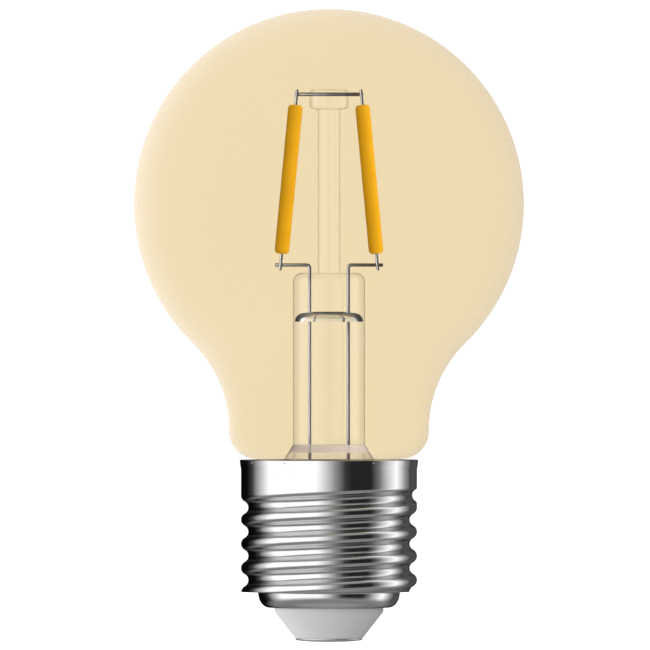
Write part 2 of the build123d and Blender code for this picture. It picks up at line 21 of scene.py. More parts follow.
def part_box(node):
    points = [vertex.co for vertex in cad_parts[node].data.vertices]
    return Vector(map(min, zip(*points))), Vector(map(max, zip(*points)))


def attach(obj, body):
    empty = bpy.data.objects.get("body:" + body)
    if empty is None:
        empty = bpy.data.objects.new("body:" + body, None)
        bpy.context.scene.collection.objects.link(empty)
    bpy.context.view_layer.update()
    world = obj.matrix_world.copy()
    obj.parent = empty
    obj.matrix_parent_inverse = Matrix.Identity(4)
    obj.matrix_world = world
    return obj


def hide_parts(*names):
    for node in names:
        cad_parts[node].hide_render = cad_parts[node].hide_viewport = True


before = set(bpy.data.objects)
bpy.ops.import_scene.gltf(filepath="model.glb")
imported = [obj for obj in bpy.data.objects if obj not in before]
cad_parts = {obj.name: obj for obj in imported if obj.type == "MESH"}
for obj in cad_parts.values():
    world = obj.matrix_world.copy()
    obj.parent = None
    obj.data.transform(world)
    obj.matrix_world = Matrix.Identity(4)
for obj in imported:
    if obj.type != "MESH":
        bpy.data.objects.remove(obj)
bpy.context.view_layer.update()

Socket = bpy.types.NodeSocket
Colour = tuple[float, float, float]
Stops = Sequence[tuple[float, float]]

LOG = logging.getLogger("bulb")
MM = 0.001
HAIR = 0.01 * MM
WELD = 1e-7
BODY = "root"


class Side(Enum):
    """The two sides of the bulb, seen from its front."""

    LEFT = -1
    RIGHT = 1

    @property
    def word(self) -> str:
        """The side's word in a node's name."""
        return self.name.lower()


class StemGlass(IntEnum):
    """The parts of the stem's surface, each with its own glass."""

    OUTSIDE = 0
    BEND = 1
    BORE = 2
    CAVITY_END = 3
    LEG = 4


def low(node: str) -> Vector:
    """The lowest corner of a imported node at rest."""
    return Vector(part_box(node)[0])


def high(node: str) -> Vector:
    """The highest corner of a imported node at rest."""
    return Vector(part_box(node)[1])


def span(node: str) -> tuple[float, float]:
    """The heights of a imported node's top and bottom."""
    return high(node).z, low(node).z


# Drawing and turning -------------------------------------------------------------------------


@dataclass
class Outline:
    """A line drawn in the half plane of an axis, as points of radius and height.

    Attributes:
        points: The points, in order.
    """

    points: list[tuple[float, float]] = field(default_factory=list)

    def to(self, radius: float, height: float) -> Outline:
        """Draws a straight run to a point."""
        self.points.append((radius, height))
        return self

    def rise(self, radius: float, height: float, steps: int) -> Outline:
        """Draws a straight run to a point, cut into equal steps.

        Args:
            radius: Radius of the end.
            height: Height of the end.
            steps: How many steps the run is cut into.

        Returns:
            The same outline.
        """
        start_r, start_z = self.points[-1]
        for step in range(1, steps + 1):
            share = step / steps
            self.to(start_r + (radius - start_r) * share, start_z + (height - start_z) * share)
        return self

    def arc(
        self,
        centre: tuple[float, float],
        radius: float,
        start: float,
        sweep: float,
        steps: int,
        tall: float | None = None,
    ) -> Outline:
        """Draws an arc.

        Args:
            centre: Radius and height of the arc's centre.
            radius: The arc's own radius.
            start: Angle of its first point in degrees, 0 outwards and 90 upwards.
            sweep: How far it turns, in degrees.
            steps: How many chords it has.
            tall: Its upright radius, where it is an ellipse's.

        Returns:
            The same outline.
        """
        upright = radius if tall is None else tall
        for step in range(steps + 1):
            angle = math.radians(start + sweep * step / steps)
            self.to(centre[0] + radius * math.cos(angle), centre[1] + upright * math.sin(angle))
        return self


def finished(mesh: bmesh.types.BMesh, name: str, sharp: float = 40.0) -> bpy.types.Object:
    """Turns a bmesh into an object at the origin, with closed seams and faces pointing outwards.

    Args:
        mesh: The mesh, which is freed.
        name: The piece's name.
        sharp: Edges sharper than this many degrees stay sharp.

    Returns:
        The new object, linked to the scene.
    """
    bmesh.ops.remove_doubles(mesh, verts=mesh.verts, dist=WELD)
    bmesh.ops.recalc_face_normals(mesh, faces=mesh.faces)
    data = bpy.data.meshes.new(name)
    mesh.to_mesh(data)
    mesh.free()
    data.shade_smooth()
    data.set_sharp_from_angle(angle=math.radians(sharp))
    piece = bpy.data.objects.new(name, data)
    bpy.context.scene.collection.objects.link(piece)
    return piece


def turned(outline: Outline, columns: int, closed: bool = False) -> bmesh.types.BMesh:
    """Turns an outline once round the Z axis.

    Args:
        outline: The section. Points on the axis become poles.
        columns: How many steps the turn has.
        closed: Whether the section's last point joins its first.

    Returns:
        The turned mesh.
    """
    mesh = bmesh.new()
    points = [mesh.verts.new((radius, 0, height)) for radius, height in outline.points]
    pairs = list(zip(points, points[1:]))
    if closed:
        pairs.append((points[-1], points[0]))
    edges = [mesh.edges.new(pair) for pair in pairs]
    bmesh.ops.spin(
        mesh,
        geom=points + edges,
        cent=(0, 0, 0),
        axis=(0, 0, 1),
        dvec=(0, 0, 0),
        angle=2 * math.pi,
        steps=columns,
        use_merge=True,
    )
    bmesh.ops.remove_doubles(mesh, verts=mesh.verts, dist=WELD)
    return mesh


@dataclass
class WireMaker:
    """Makes round wires from straight runs and round bends.

    Attributes:
        radius: The wire's radius.
        sides: How many sides its section has.
        bend_steps: How many steps its bend has.
        tip: The rounding of its cut ends.
    """

    radius: float
    sides: int = 24
    bend_steps: int = 10
    tip: float = 0.05 * MM

    def run(self, mesh: bmesh.types.BMesh, face: list[bmesh.types.BMFace], move: Vector) -> list:
        """Extrudes the wire's end along a straight run.

        Args:
            mesh: The wire so far.
            face: Its end face, which is used up.
            move: The run.

        Returns:
            The new end face.
        """
        made = bmesh.ops.extrude_face_region(mesh, geom=face)["geom"]
        points = [part for part in made if isinstance(part, bmesh.types.BMVert)]
        bmesh.ops.translate(mesh, verts=points, vec=move)
        self.open_up(mesh, face)
        return [part for part in made if isinstance(part, bmesh.types.BMFace)]

    def open_up(self, mesh: bmesh.types.BMesh, faces: list[bmesh.types.BMFace]) -> None:
        """Takes away the faces that a run has left inside the wire."""
        bmesh.ops.delete(mesh, geom=[face for face in faces if face.is_valid], context="FACES_ONLY")

    def ease_ends(self, mesh: bmesh.types.BMesh) -> None:
        """Rounds the edges of the end faces a little, as a cut wire's are."""
        rims = {edge for face in mesh.faces if len(face.verts) == self.sides for edge in face.edges}
        bmesh.ops.bevel(
            mesh,
            geom=list(rims),
            offset=self.tip,
            offset_type="OFFSET",
            segments=2,
            profile=0.5,
            affect="EDGES",
            material=-1,
        )

    def straight(self, start: Vector, end: Vector, name: str) -> bpy.types.Object:
        """Makes a straight wire with its cut ends eased.

        Args:
            start: Where it starts.
            end: Where it ends.
            name: The piece's name.

        Returns:
            The wire.
        """
        mesh = bmesh.new()
        heading = end - start
        turn = heading.to_track_quat("Z", "Y").to_matrix().to_4x4()
        bmesh.ops.create_cone(
            mesh,
            cap_ends=True,
            segments=self.sides,
            radius1=self.radius,
            radius2=self.radius,
            depth=heading.length,
            matrix=Matrix.Translation((start + end) / 2) @ turn,
        )
        self.ease_ends(mesh)
        return finished(mesh, name)

    def bent(self, start: Vector, corner: Vector, end: Vector, bend: float, name: str) -> bpy.types.Object:
        """Makes a wire with one round bend.

        Args:
            start: Where it starts.
            corner: Where its two straight runs would meet.
            end: Where it ends.
            bend: Radius of the bend, on the wire's centre line.
            name: The piece's name.

        Returns:
            The wire.
        """
        first = (corner - start).normalized()
        second = (end - corner).normalized()
        turn = first.angle(second)
        setback = bend * math.tan(turn / 2)
        mesh = bmesh.new()
        facing = first.to_track_quat("Z", "Y").to_matrix().to_4x4()
        bmesh.ops.create_circle(
            mesh,
            cap_ends=True,
            segments=self.sides,
            radius=self.radius,
            matrix=Matrix.Translation(start) @ facing,
        )
        face = list(mesh.faces)
        # A copy of the first face closes the wire's start, because the run uses the face up.
        face[0].copy(verts=True, edges=True)
        inner_end = self.run(mesh, face, (corner - first * setback) - start)
        bend_centre = corner - first * setback + (second - first * first.dot(second)).normalized() * bend
        made = bmesh.ops.spin(
            mesh,
            geom=inner_end,
            cent=bend_centre,
            axis=first.cross(second),
            dvec=(0, 0, 0),
            angle=turn,
            steps=self.bend_steps,
            use_duplicate=False,
        )["geom_last"]
        last = [part for part in made if isinstance(part, bmesh.types.BMFace)]
        self.run(mesh, last, end - (corner + second * setback))
        self.open_up(mesh, inner_end)
        bmesh.ops.remove_doubles(mesh, verts=mesh.verts, dist=WELD)
        self.ease_ends(mesh)
        return finished(mesh, name)


# Node trees ----------------------------------------------------------------------------------


class NodeTree:
    """A node tree with short words for what the finishes and the light use."""

    def __init__(self, tree: bpy.types.NodeTree) -> None:
        """Takes a tree and empties it.

        Args:
            tree: The tree to draw in.
        """
        self.tree = tree
        tree.nodes.clear()

    def add(self, kind: str, **settings: object) -> bpy.types.Node:
        """Adds a node.

        Args:
            kind: The node's type.
            settings: Its properties.

        Returns:
            The node.
        """
        node = self.tree.nodes.new(kind)
        for key, value in settings.items():
            setattr(node, key, value)
        return node

    def put(self, value: Socket | float | tuple, target: Socket) -> None:
        """Gives an input its value.

        Args:
            value: A socket to link, a number, or a colour or vector.
            target: The input.
        """
        if isinstance(value, bpy.types.NodeSocket):
            self.tree.links.new(value, target)
        elif target.type == "RGBA":
            colour = value if isinstance(value, tuple) else (value, value, value)
            target.default_value = (*colour, 1)
        else:
            target.default_value = value

    def maths(self, operation: str, *values: Socket | float) -> Socket:
        """A sum of one or two numbers.

        Args:
            operation: Blender's name for the sum.
            values: Sockets or numbers.

        Returns:
            The socket of the result.
        """
        node = self.add("ShaderNodeMath", operation=operation)
        for value, target in zip(values, node.inputs):
            self.put(value, target)
        return node.outputs[0]

    def mix(self, share: Socket | float, first: object, second: object, kind: str = "MIX") -> Socket:
        """Mixes two colours.

        Args:
            share: Share of the second.
            first: A socket, number or colour.
            second: A socket, number or colour.
            kind: Blender's name for the way of mixing.

        Returns:
            The socket of the result.
        """
        node = self.add("ShaderNodeMix", data_type="RGBA", blend_type=kind)
        for value, index in ((share, 0), (first, 6), (second, 7)):
            self.put(value, node.inputs[index])
        return node.outputs[2]

    def ramp(self, source: Socket, stops: Sequence[tuple[float, float | Colour]]) -> Socket:
        """Turns a number into a grey or a colour by a ramp of stops.

        Args:
            source: The number, 0 to 1.
            stops: Pairs of a place and its grey or colour.

        Returns:
            The socket of the colour.
        """
        ramp = self.add("ShaderNodeValToRGB")
        elements = ramp.color_ramp.elements
        while len(elements) < len(stops):
            elements.new(0.5)
        for element, (place, colour) in zip(elements, stops):
            element.position = place
            element.color = (*colour, 1) if isinstance(colour, tuple) else (colour, colour, colour, 1)
        self.put(source, ramp.inputs["Fac"])
        return ramp.outputs["Color"]

    def between(
        self, source: Socket, start: float, end: float, source_start: float = 0.0, source_end: float = 1.0
    ) -> Socket:
        """Maps a number from one range to another, and holds it inside.

        Args:
            source: The number.
            start: The result at the start of the source's range.
            end: The result at its end.
            source_start: Start of the source's range.
            source_end: End of the source's range.

        Returns:
            The socket of the result.
        """
        node = self.add("ShaderNodeMapRange")
        values = (source, source_start, source_end, start, end)
        for value, name in zip(values, ("Value", "From Min", "From Max", "To Min", "To Max")):
            self.put(value, node.inputs[name])
        return node.outputs["Result"]


class NodeSheet(NodeTree):
    """A material's node tree, with one shader."""

    def __init__(self, name: str) -> None:
        """Starts a material that has only a shader and its output.

        Args:
            name: The material's name.
        """
        self.material = bpy.data.materials.new(name)
        self.material.use_nodes = True
        super().__init__(self.material.node_tree)
        self.shader = self.add("ShaderNodeBsdfPrincipled")
        self.put(self.shader.outputs["BSDF"], self.add("ShaderNodeOutputMaterial").inputs["Surface"])

    def set(self, **values: object) -> None:
        """Sets constants or links on the shader's own sockets. An underscore stands for a space."""
        for key, value in values.items():
            self.put(value, self.shader.inputs[key.replace("_", " ")])

    def place(self, scale: Colour = (1, 1, 1)) -> Socket:
        """Object coordinates, stretched by a scale for each axis."""
        mapping = self.add("ShaderNodeMapping")
        mapping.inputs["Scale"].default_value = scale
        self.put(self.add("ShaderNodeTexCoord").outputs["Object"], mapping.inputs["Vector"])
        return mapping.outputs["Vector"]

    def noise(self, size: float, detail: float = 3.0, scale: Colour = (1, 1, 1)) -> Socket:
        """A noise pattern.

        Args:
            size: Size of its largest features, in metres.
            detail: How many finer layers it has.
            scale: Stretch for each axis.

        Returns:
            The socket that carries the pattern.
        """
        pattern = self.add("ShaderNodeTexNoise")
        pattern.inputs["Scale"].default_value = 1 / size
        pattern.inputs["Detail"].default_value = detail
        self.put(self.place(scale), pattern.inputs["Vector"])
        return pattern.outputs["Fac"]

    def by_radius(self, stops: Stops) -> Socket:
        """A number that changes with the distance from the bulb's axis.

        Args:
            stops: Pairs of a radius in metres, rising, and the number there.

        Returns:
            The socket that gives the number.
        """
        flat = self.add("ShaderNodeVectorMath", operation="MULTIPLY")
        flat.inputs[1].default_value = (1, 1, 0)
        self.put(self.add("ShaderNodeTexCoord").outputs["Object"], flat.inputs[0])
        length = self.add("ShaderNodeVectorMath", operation="LENGTH")
        self.put(flat.outputs[0], length.inputs[0])
        first, last = stops[0][0], stops[-1][0]
        share = self.between(length.outputs["Value"], 0.0, 1.0, first, last)
        return self.ramp(share, [((radius - first) / (last - first), value) for radius, value in stops])

    def bump(self, source: Socket, depth: float, strength: float = 1.0) -> None:
        """Raises the surface by a pattern.

        Args:
            source: The pattern.
            depth: Its depth in metres.
            strength: Share of the depth that shows.
        """
        node = self.add("ShaderNodeBump")
        node.inputs["Strength"].default_value = strength
        node.inputs["Distance"].default_value = depth
        self.put(source, node.inputs["Height"])
        self.set(Normal=node.outputs["Normal"])


# Finishes ------------------------------------------------------------------------------------


@dataclass(frozen=True)
class GlassFinish:
    """Clear or tinted glass.

    Attributes:
        name: The material's name.
        tint: Colour of what passes the glass.
        thin_tint: Colour where the glass is drawn thinner.
        refraction: Index of refraction.
        polish: Weight of the clear reflection on its surface.
        haze: Weight of the soft whitening where the glass is seen on edge.
        haze_spread: How far that whitening reaches in from the edge.
        clear: Share of the light that passes unscattered, below 1 for milky glass.
    """

    name: str
    tint: Colour
    thin_tint: Colour
    refraction: float = 1.0
    polish: float = 0.0
    haze: float = 0.0
    haze_spread: float = 0.3
    clear: float = 1.0

    def make(self) -> bpy.types.Material:
        """Builds the material.

        Returns:
            The material.
        """
        sheet = NodeSheet(self.name)
        sheet.set(Roughness=0.0, Transmission_Weight=self.clear, IOR=self.refraction)
        sheet.set(Coat_Weight=self.polish, Coat_Roughness=0.02)
        sheet.set(Sheen_Weight=self.haze, Sheen_Roughness=self.haze_spread)
        sheet.set(Base_Color=sheet.ramp(sheet.noise(22 * MM, 1.0), [(0.3, self.tint), (0.7, self.thin_tint)]))
        return sheet.material


@dataclass(frozen=True)
class MetalFinish:
    """Bare or plated metal with fine drawing or rolling marks, and painted shade on a thread's flanks.

    Attributes:
        name: The material's name.
        colour: Colour of its reflections.
        roughness: Lowest and highest roughness.
        grain: Size of the marks, in metres.
        grain_stretch: Stretch of the marks for each axis; a small number makes them long.
        grain_depth: Depth of the marks, in metres.
        edge_tint: Share of light that a face reflects when it is seen almost edge on.
        flank: Radii between which a rolled thread's flanks get painted shade and more roughness, in metres;
            none if it is empty.
        flank_painted_shade: Painted shade on the flanks: the share of their colour that is kept, which
            darkens them.
        flank_roughness: How much rougher the flanks are.
    """

    name: str
    colour: Colour
    roughness: tuple[float, float]
    grain: float = 0.2 * MM
    grain_stretch: Colour = (1, 1, 1)
    grain_depth: float = 0.0
    edge_tint: float = 1.0
    flank: tuple[float, ...] = ()
    flank_painted_shade: float = 1.0
    flank_roughness: float = 0.0

    def make(self) -> bpy.types.Material:
        """Builds the material.

        Returns:
            The material.
        """
        sheet = NodeSheet(self.name)
        dull = tuple(channel * 0.94 for channel in self.colour)
        colour = sheet.ramp(sheet.noise(3 * MM, 2.0), [(0.3, dull), (0.7, self.colour)])
        marks = sheet.noise(self.grain, 2.0, self.grain_stretch)
        polish = sheet.between(marks, *self.roughness)
        if self.flank:
            # Painted shade: the colour is multiplied down on the thread's flanks, and their roughness is
            # raised as well.
            painted_flank_shades = zip(self.flank, (1.0, self.flank_painted_shade, self.flank_painted_shade, 1.0))
            colour = sheet.mix(1.0, colour, sheet.by_radius(list(painted_flank_shades)), "MULTIPLY")
            dullness = zip(self.flank, (0.0, self.flank_roughness, self.flank_roughness, 0.0))
            polish = sheet.maths("ADD", polish, sheet.by_radius(list(dullness)))
        sheet.set(Metallic=1.0, Base_Color=colour, Roughness=polish, Specular_Tint=self.edge_tint)
        if self.grain_depth:
            sheet.bump(marks, self.grain_depth)
        return sheet.material


@dataclass(frozen=True)
class MouldedFinish:
    """Plastic, ceramic, cement or lacquer with a fine surface grain.

    Attributes:
        name: The material's name.
        colour: Main colour.
        fleck: Colour of its faint mottling.
        roughness: Lowest and highest roughness.
        grain: Size of the grain, in metres.
        grain_depth: Depth of the grain, in metres.
        glow: How far light spreads under the surface, in metres.
        shine: Specular level, 0.5 for a plain polished surface.
    """

    name: str
    colour: Colour
    fleck: Colour
    roughness: tuple[float, float] = (0.35, 0.5)
    grain: float = 0.3 * MM
    grain_depth: float = 0.005 * MM
    glow: float = 0.0
    shine: float = 0.3

    def make(self) -> bpy.types.Material:
        """Builds the material.

        Returns:
            The material.
        """
        sheet = NodeSheet(self.name)
        cast = sheet.noise(self.grain * 6, 3.0)
        grain = sheet.noise(self.grain, 3.0)
        sheet.set(Base_Color=sheet.ramp(cast, [(0.35, self.fleck), (0.65, self.colour)]))
        sheet.set(Roughness=sheet.between(grain, *self.roughness), Specular_IOR_Level=self.shine)
        sheet.bump(grain, self.grain_depth)
        if self.glow:
            sheet.set(Subsurface_Weight=0.2, Subsurface_Radius=(1.0, 0.55, 0.2), Subsurface_Scale=self.glow)
        return sheet.material


@dataclass(frozen=True)
class BoardFinish:
    """Solder mask with lighter copper tracks under it.

    Attributes:
        name: The material's name.
        mask: Colour of the mask over bare board.
        track: Colour of the mask over copper.
        pitch: Spacing of the tracks, in metres.
    """

    name: str
    mask: Colour
    track: Colour
    pitch: float

    def make(self) -> bpy.types.Material:
        """Builds the material.

        Returns:
            The material.
        """
        sheet = NodeSheet(self.name)
        cells = sheet.add("ShaderNodeTexVoronoi", distance="CHEBYCHEV", feature="F1")
        cells.inputs["Scale"].default_value = 1 / self.pitch
        sheet.put(sheet.place(), cells.inputs["Vector"])
        reach = cells.outputs["Distance"]
        sheet.set(Base_Color=sheet.ramp(reach, [(0.30, self.track), (0.36, self.mask)]), Roughness=0.32)
        sheet.bump(reach, HAIR, 0.3)
        return sheet.material


def grey(level: float) -> Colour:
    """A grey with the same level in each channel."""
    return (level, level, level)


class Finishes:
    """Every finish of the bulb, each made once."""

    def __init__(self) -> None:
        """Makes the glass, the metals, the mouldings and the boards' finishes."""
        self.make_glass()
        self.make_outer_finishes()
        self.make_inner_finishes()

    def make_glass(self) -> None:
        """Makes the glasses of the bulb and the stem."""
        self.tinted_glass = GlassFinish(
            "amber_tinted_glass", (0.785, 0.645, 0.398), (0.79, 0.65, 0.405), haze=0.42, haze_spread=0.42
        ).make()
        self.inner_wall = GlassFinish("inner_glass_wall", grey(1.0), grey(0.998)).make()
        self.stem_glass = GlassFinish("stem_glass", grey(0.995), grey(1.0), 1.002, 0.6).make()
        self.bore_glass = GlassFinish("stem_bore_glass", grey(0.995), grey(1.0)).make()
        self.end_glass = GlassFinish("cavity_end_glass", (0.90, 0.95, 1.0), (0.92, 0.96, 1.0), 1.3).make()
        self.leg_glass = GlassFinish(
            "flare_leg_glass", (0.98, 0.99, 1.0), (0.99, 1.0, 1.0), polish=1.0
        ).make()
        self.bend_glass = GlassFinish(
            "stem_bend_glass", (0.98, 0.98, 0.94), (0.99, 0.99, 0.95), polish=1.0, clear=0.4
        ).make()
        self.tube_glass = GlassFinish("exhaust_tube_glass", grey(1.0), grey(0.99), 1.002, 0.02).make()

    def make_outer_finishes(self) -> None:
        """Makes the finishes of the wires, the filaments and the outside of the cap."""
        self.wire = MetalFinish(
            "drawn_nickel_wire", grey(0.33), (0.26, 0.36), 0.15 * MM, (1, 1, 0.05)
        ).make()
        self.phosphor = MouldedFinish(
            "yellow_phosphor_silicone",
            (0.80, 0.47, 0.008),
            (0.76, 0.44, 0.006),
            (0.45, 0.55),
            grain=0.35 * MM,
            grain_depth=0.02 * MM,
            glow=0.6 * MM,
            shine=0.08,
        ).make()
        self.shell = MetalFinish(
            "bright_nickel_shell",
            grey(0.95),
            (0.06, 0.10),
            grain=0.5 * MM,
            grain_stretch=(0.2, 0.2, 3.0),
            grain_depth=0.0005 * MM,
            edge_tint=0.4,
            # The thread's flanks get painted shade and extra roughness.
            flank=(12.2 * MM, 12.4 * MM, 12.85 * MM, 13.05 * MM),
            flank_painted_shade=0.8,
            flank_roughness=0.14,
        ).make()
        self.insulator = MouldedFinish(
            "light_grey_insulator", grey(0.70), grey(0.685), (0.4, 0.5), 0.25 * MM, 0.001 * MM
        ).make()
        self.contact = MetalFinish(
            "dull_plated_contact", grey(0.85), (0.5, 0.6), 0.3 * MM, grain_depth=0.003 * MM
        ).make()

    def make_inner_finishes(self) -> None:
        """Makes the finishes of what the cap and the filaments hide."""
        self.cement = MouldedFinish(
            "set_basing_cement", (0.60, 0.56, 0.48), (0.50, 0.46, 0.39), (0.8, 0.95), 0.4 * MM, 0.05 * MM
        ).make()
        self.liner = MouldedFinish("white_liner", (0.80, 0.80, 0.78), (0.76, 0.76, 0.74)).make()
        self.strip = MouldedFinish(
            "chip_carrier", (0.85, 0.84, 0.80), (0.80, 0.79, 0.75), (0.25, 0.35)
        ).make()
        self.led = MouldedFinish("led_chip", (0.30, 0.38, 0.55), (0.22, 0.28, 0.45), (0.1, 0.2)).make()
        self.board = BoardFinish(
            "green_circuit_board", (0.012, 0.085, 0.028), (0.03, 0.19, 0.06), 1.1 * MM
        ).make()
        self.black = MouldedFinish(
            "black_moulding", (0.02, 0.02, 0.022), (0.028, 0.028, 0.03), (0.45, 0.6), 0.12 * MM, 0.008 * MM
        ).make()
        self.ferrite = MouldedFinish(
            "ferrite", (0.05, 0.047, 0.045), grey(0.03), (0.55, 0.75), 0.2 * MM, 0.01 * MM
        ).make()
        self.sleeve = MouldedFinish(
            "capacitor_sleeve", (0.02, 0.03, 0.09), (0.015, 0.02, 0.06), (0.2, 0.3)
        ).make()
        self.lacquer = MouldedFinish(
            "resistor_lacquer", (0.25, 0.50, 0.42), (0.2, 0.43, 0.36), (0.25, 0.4)
        ).make()
        self.ceramic = MouldedFinish(
            "tan_ceramic", (0.44, 0.30, 0.18), (0.38, 0.26, 0.15), (0.4, 0.55)
        ).make()
        self.tin = MetalFinish(
            "tinned_sheet", (0.74, 0.74, 0.72), (0.22, 0.38), 0.3 * MM, grain_depth=0.002 * MM
        ).make()
        self.copper = MetalFinish(
            "enamelled_copper", (0.72, 0.30, 0.13), (0.2, 0.32), 0.2 * MM, (1, 1, 0.1), 0.002 * MM
        ).make()
        self.gold = MetalFinish("gilt_pins", (0.90, 0.70, 0.32), (0.2, 0.3)).make()
        self.solder = MetalFinish(
            "bright_solder", grey(0.80), (0.15, 0.35), 0.5 * MM, grain_depth=0.01 * MM
        ).make()


def dress(piece: bpy.types.Object, material: bpy.types.Material) -> None:
    """Gives a piece one finish all over.

    Args:
        piece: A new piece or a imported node's object.
        material: The finish.
    """
    if not piece.data.materials:
        piece.data.materials.append(material)
    for index in range(len(piece.data.materials)):
        piece.data.materials[index] = material
    LOG.info("%s: %d faces, finish %s", piece.name, len(piece.data.polygons), material.name)


def stand_for(piece: bpy.types.Object, node: str, material: bpy.types.Material) -> None:
    """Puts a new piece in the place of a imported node.

    Args:
        piece: The new piece.
        node: The node that it stands for.
        material: Its finish.
    """
    dress(piece, material)
    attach(piece, BODY)
    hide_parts(node)
    LOG.info("%s: stands for %s", piece.name, node)


# Glass ---------------------------------------------------------------------------------------


@dataclass
class GlassBulb:
    """The blown bulb: a globe drawn into a neck, whose end hangs inside the cap.

    Attributes:
        wall: Thickness of the glass.
        waist_r: Radius of the narrowest part above the cap.
        waist_z: Height at which the drawn-in curve turns upright.
        seat_round: Radius of the rounding that turns in over the cap.
        seat_z: Height of that rounding's centre.
        neck_round: Radius of the inner corner down into the neck.
        columns: Steps round the axis.
    """

    wall: float = 0.7 * MM
    waist_r: float = 15.0 * MM
    waist_z: float = 31.8 * MM
    seat_round: float = 4.2 * MM
    seat_z: float = 31.6 * MM
    neck_round: float = 0.5 * MM
    columns: int = 160

    def globe(self) -> tuple[float, float]:
        """The globe's radius and the height of its centre."""
        top = high("glass_envelope")
        return top.x, top.z - top.x

    def outline(self, inset: float) -> Outline:
        """Draws the bulb's half outline from crown to neck end.

        Args:
            inset: How far inside the outer surface it is drawn.

        Returns:
            The outline.
        """
        globe_r, globe_z = self.globe()
        rise = globe_z - self.waist_z
        waist_round = (globe_r**2 - self.waist_r**2 - rise**2) / (2 * (self.waist_r - globe_r))
        lean = math.degrees(math.atan2(rise, self.waist_r + waist_round))
        seat_r = self.waist_r - self.seat_round
        corner_z = self.seat_z - self.seat_round - self.neck_round
        line = Outline()
        line.arc((0, globe_z), globe_r - inset, 90, -90 - lean, 72)
        line.arc((self.waist_r + waist_round, self.waist_z), waist_round + inset, 180 - lean, lean, 20)
        line.arc((seat_r, self.seat_z), self.seat_round - inset, 0, -90, 14)
        line.arc((seat_r, corner_z), self.neck_round + inset, 90, 90, 6)
        return line.to(seat_r - self.neck_round - inset, low("glass_envelope").z)

    def build(self, finishes: Finishes) -> None:
        """Turns both walls, joined at the neck's end, and tints the outer one.

        Args:
            finishes: The bulb's finishes.
        """
        section = Outline(self.outline(0).points + self.outline(self.wall).points[::-1])
        # The crown's two ends go exactly on the axis, where they become poles.
        for end in (0, -1):
            section.points[end] = (0, section.points[end][1])
        piece = finished(turned(section, self.columns), "blown_glass_bulb")
        stand_for(piece, "glass_envelope", finishes.tinted_glass)
        piece.data.materials.append(finishes.inner_wall)
        globe_z = self.globe()[1]
        for face in piece.data.polygons:
            outward = face.normal.dot(face.center - Vector((0, 0, min(face.center.z, globe_z))))
            if outward < 0:
                face.material_index = 1


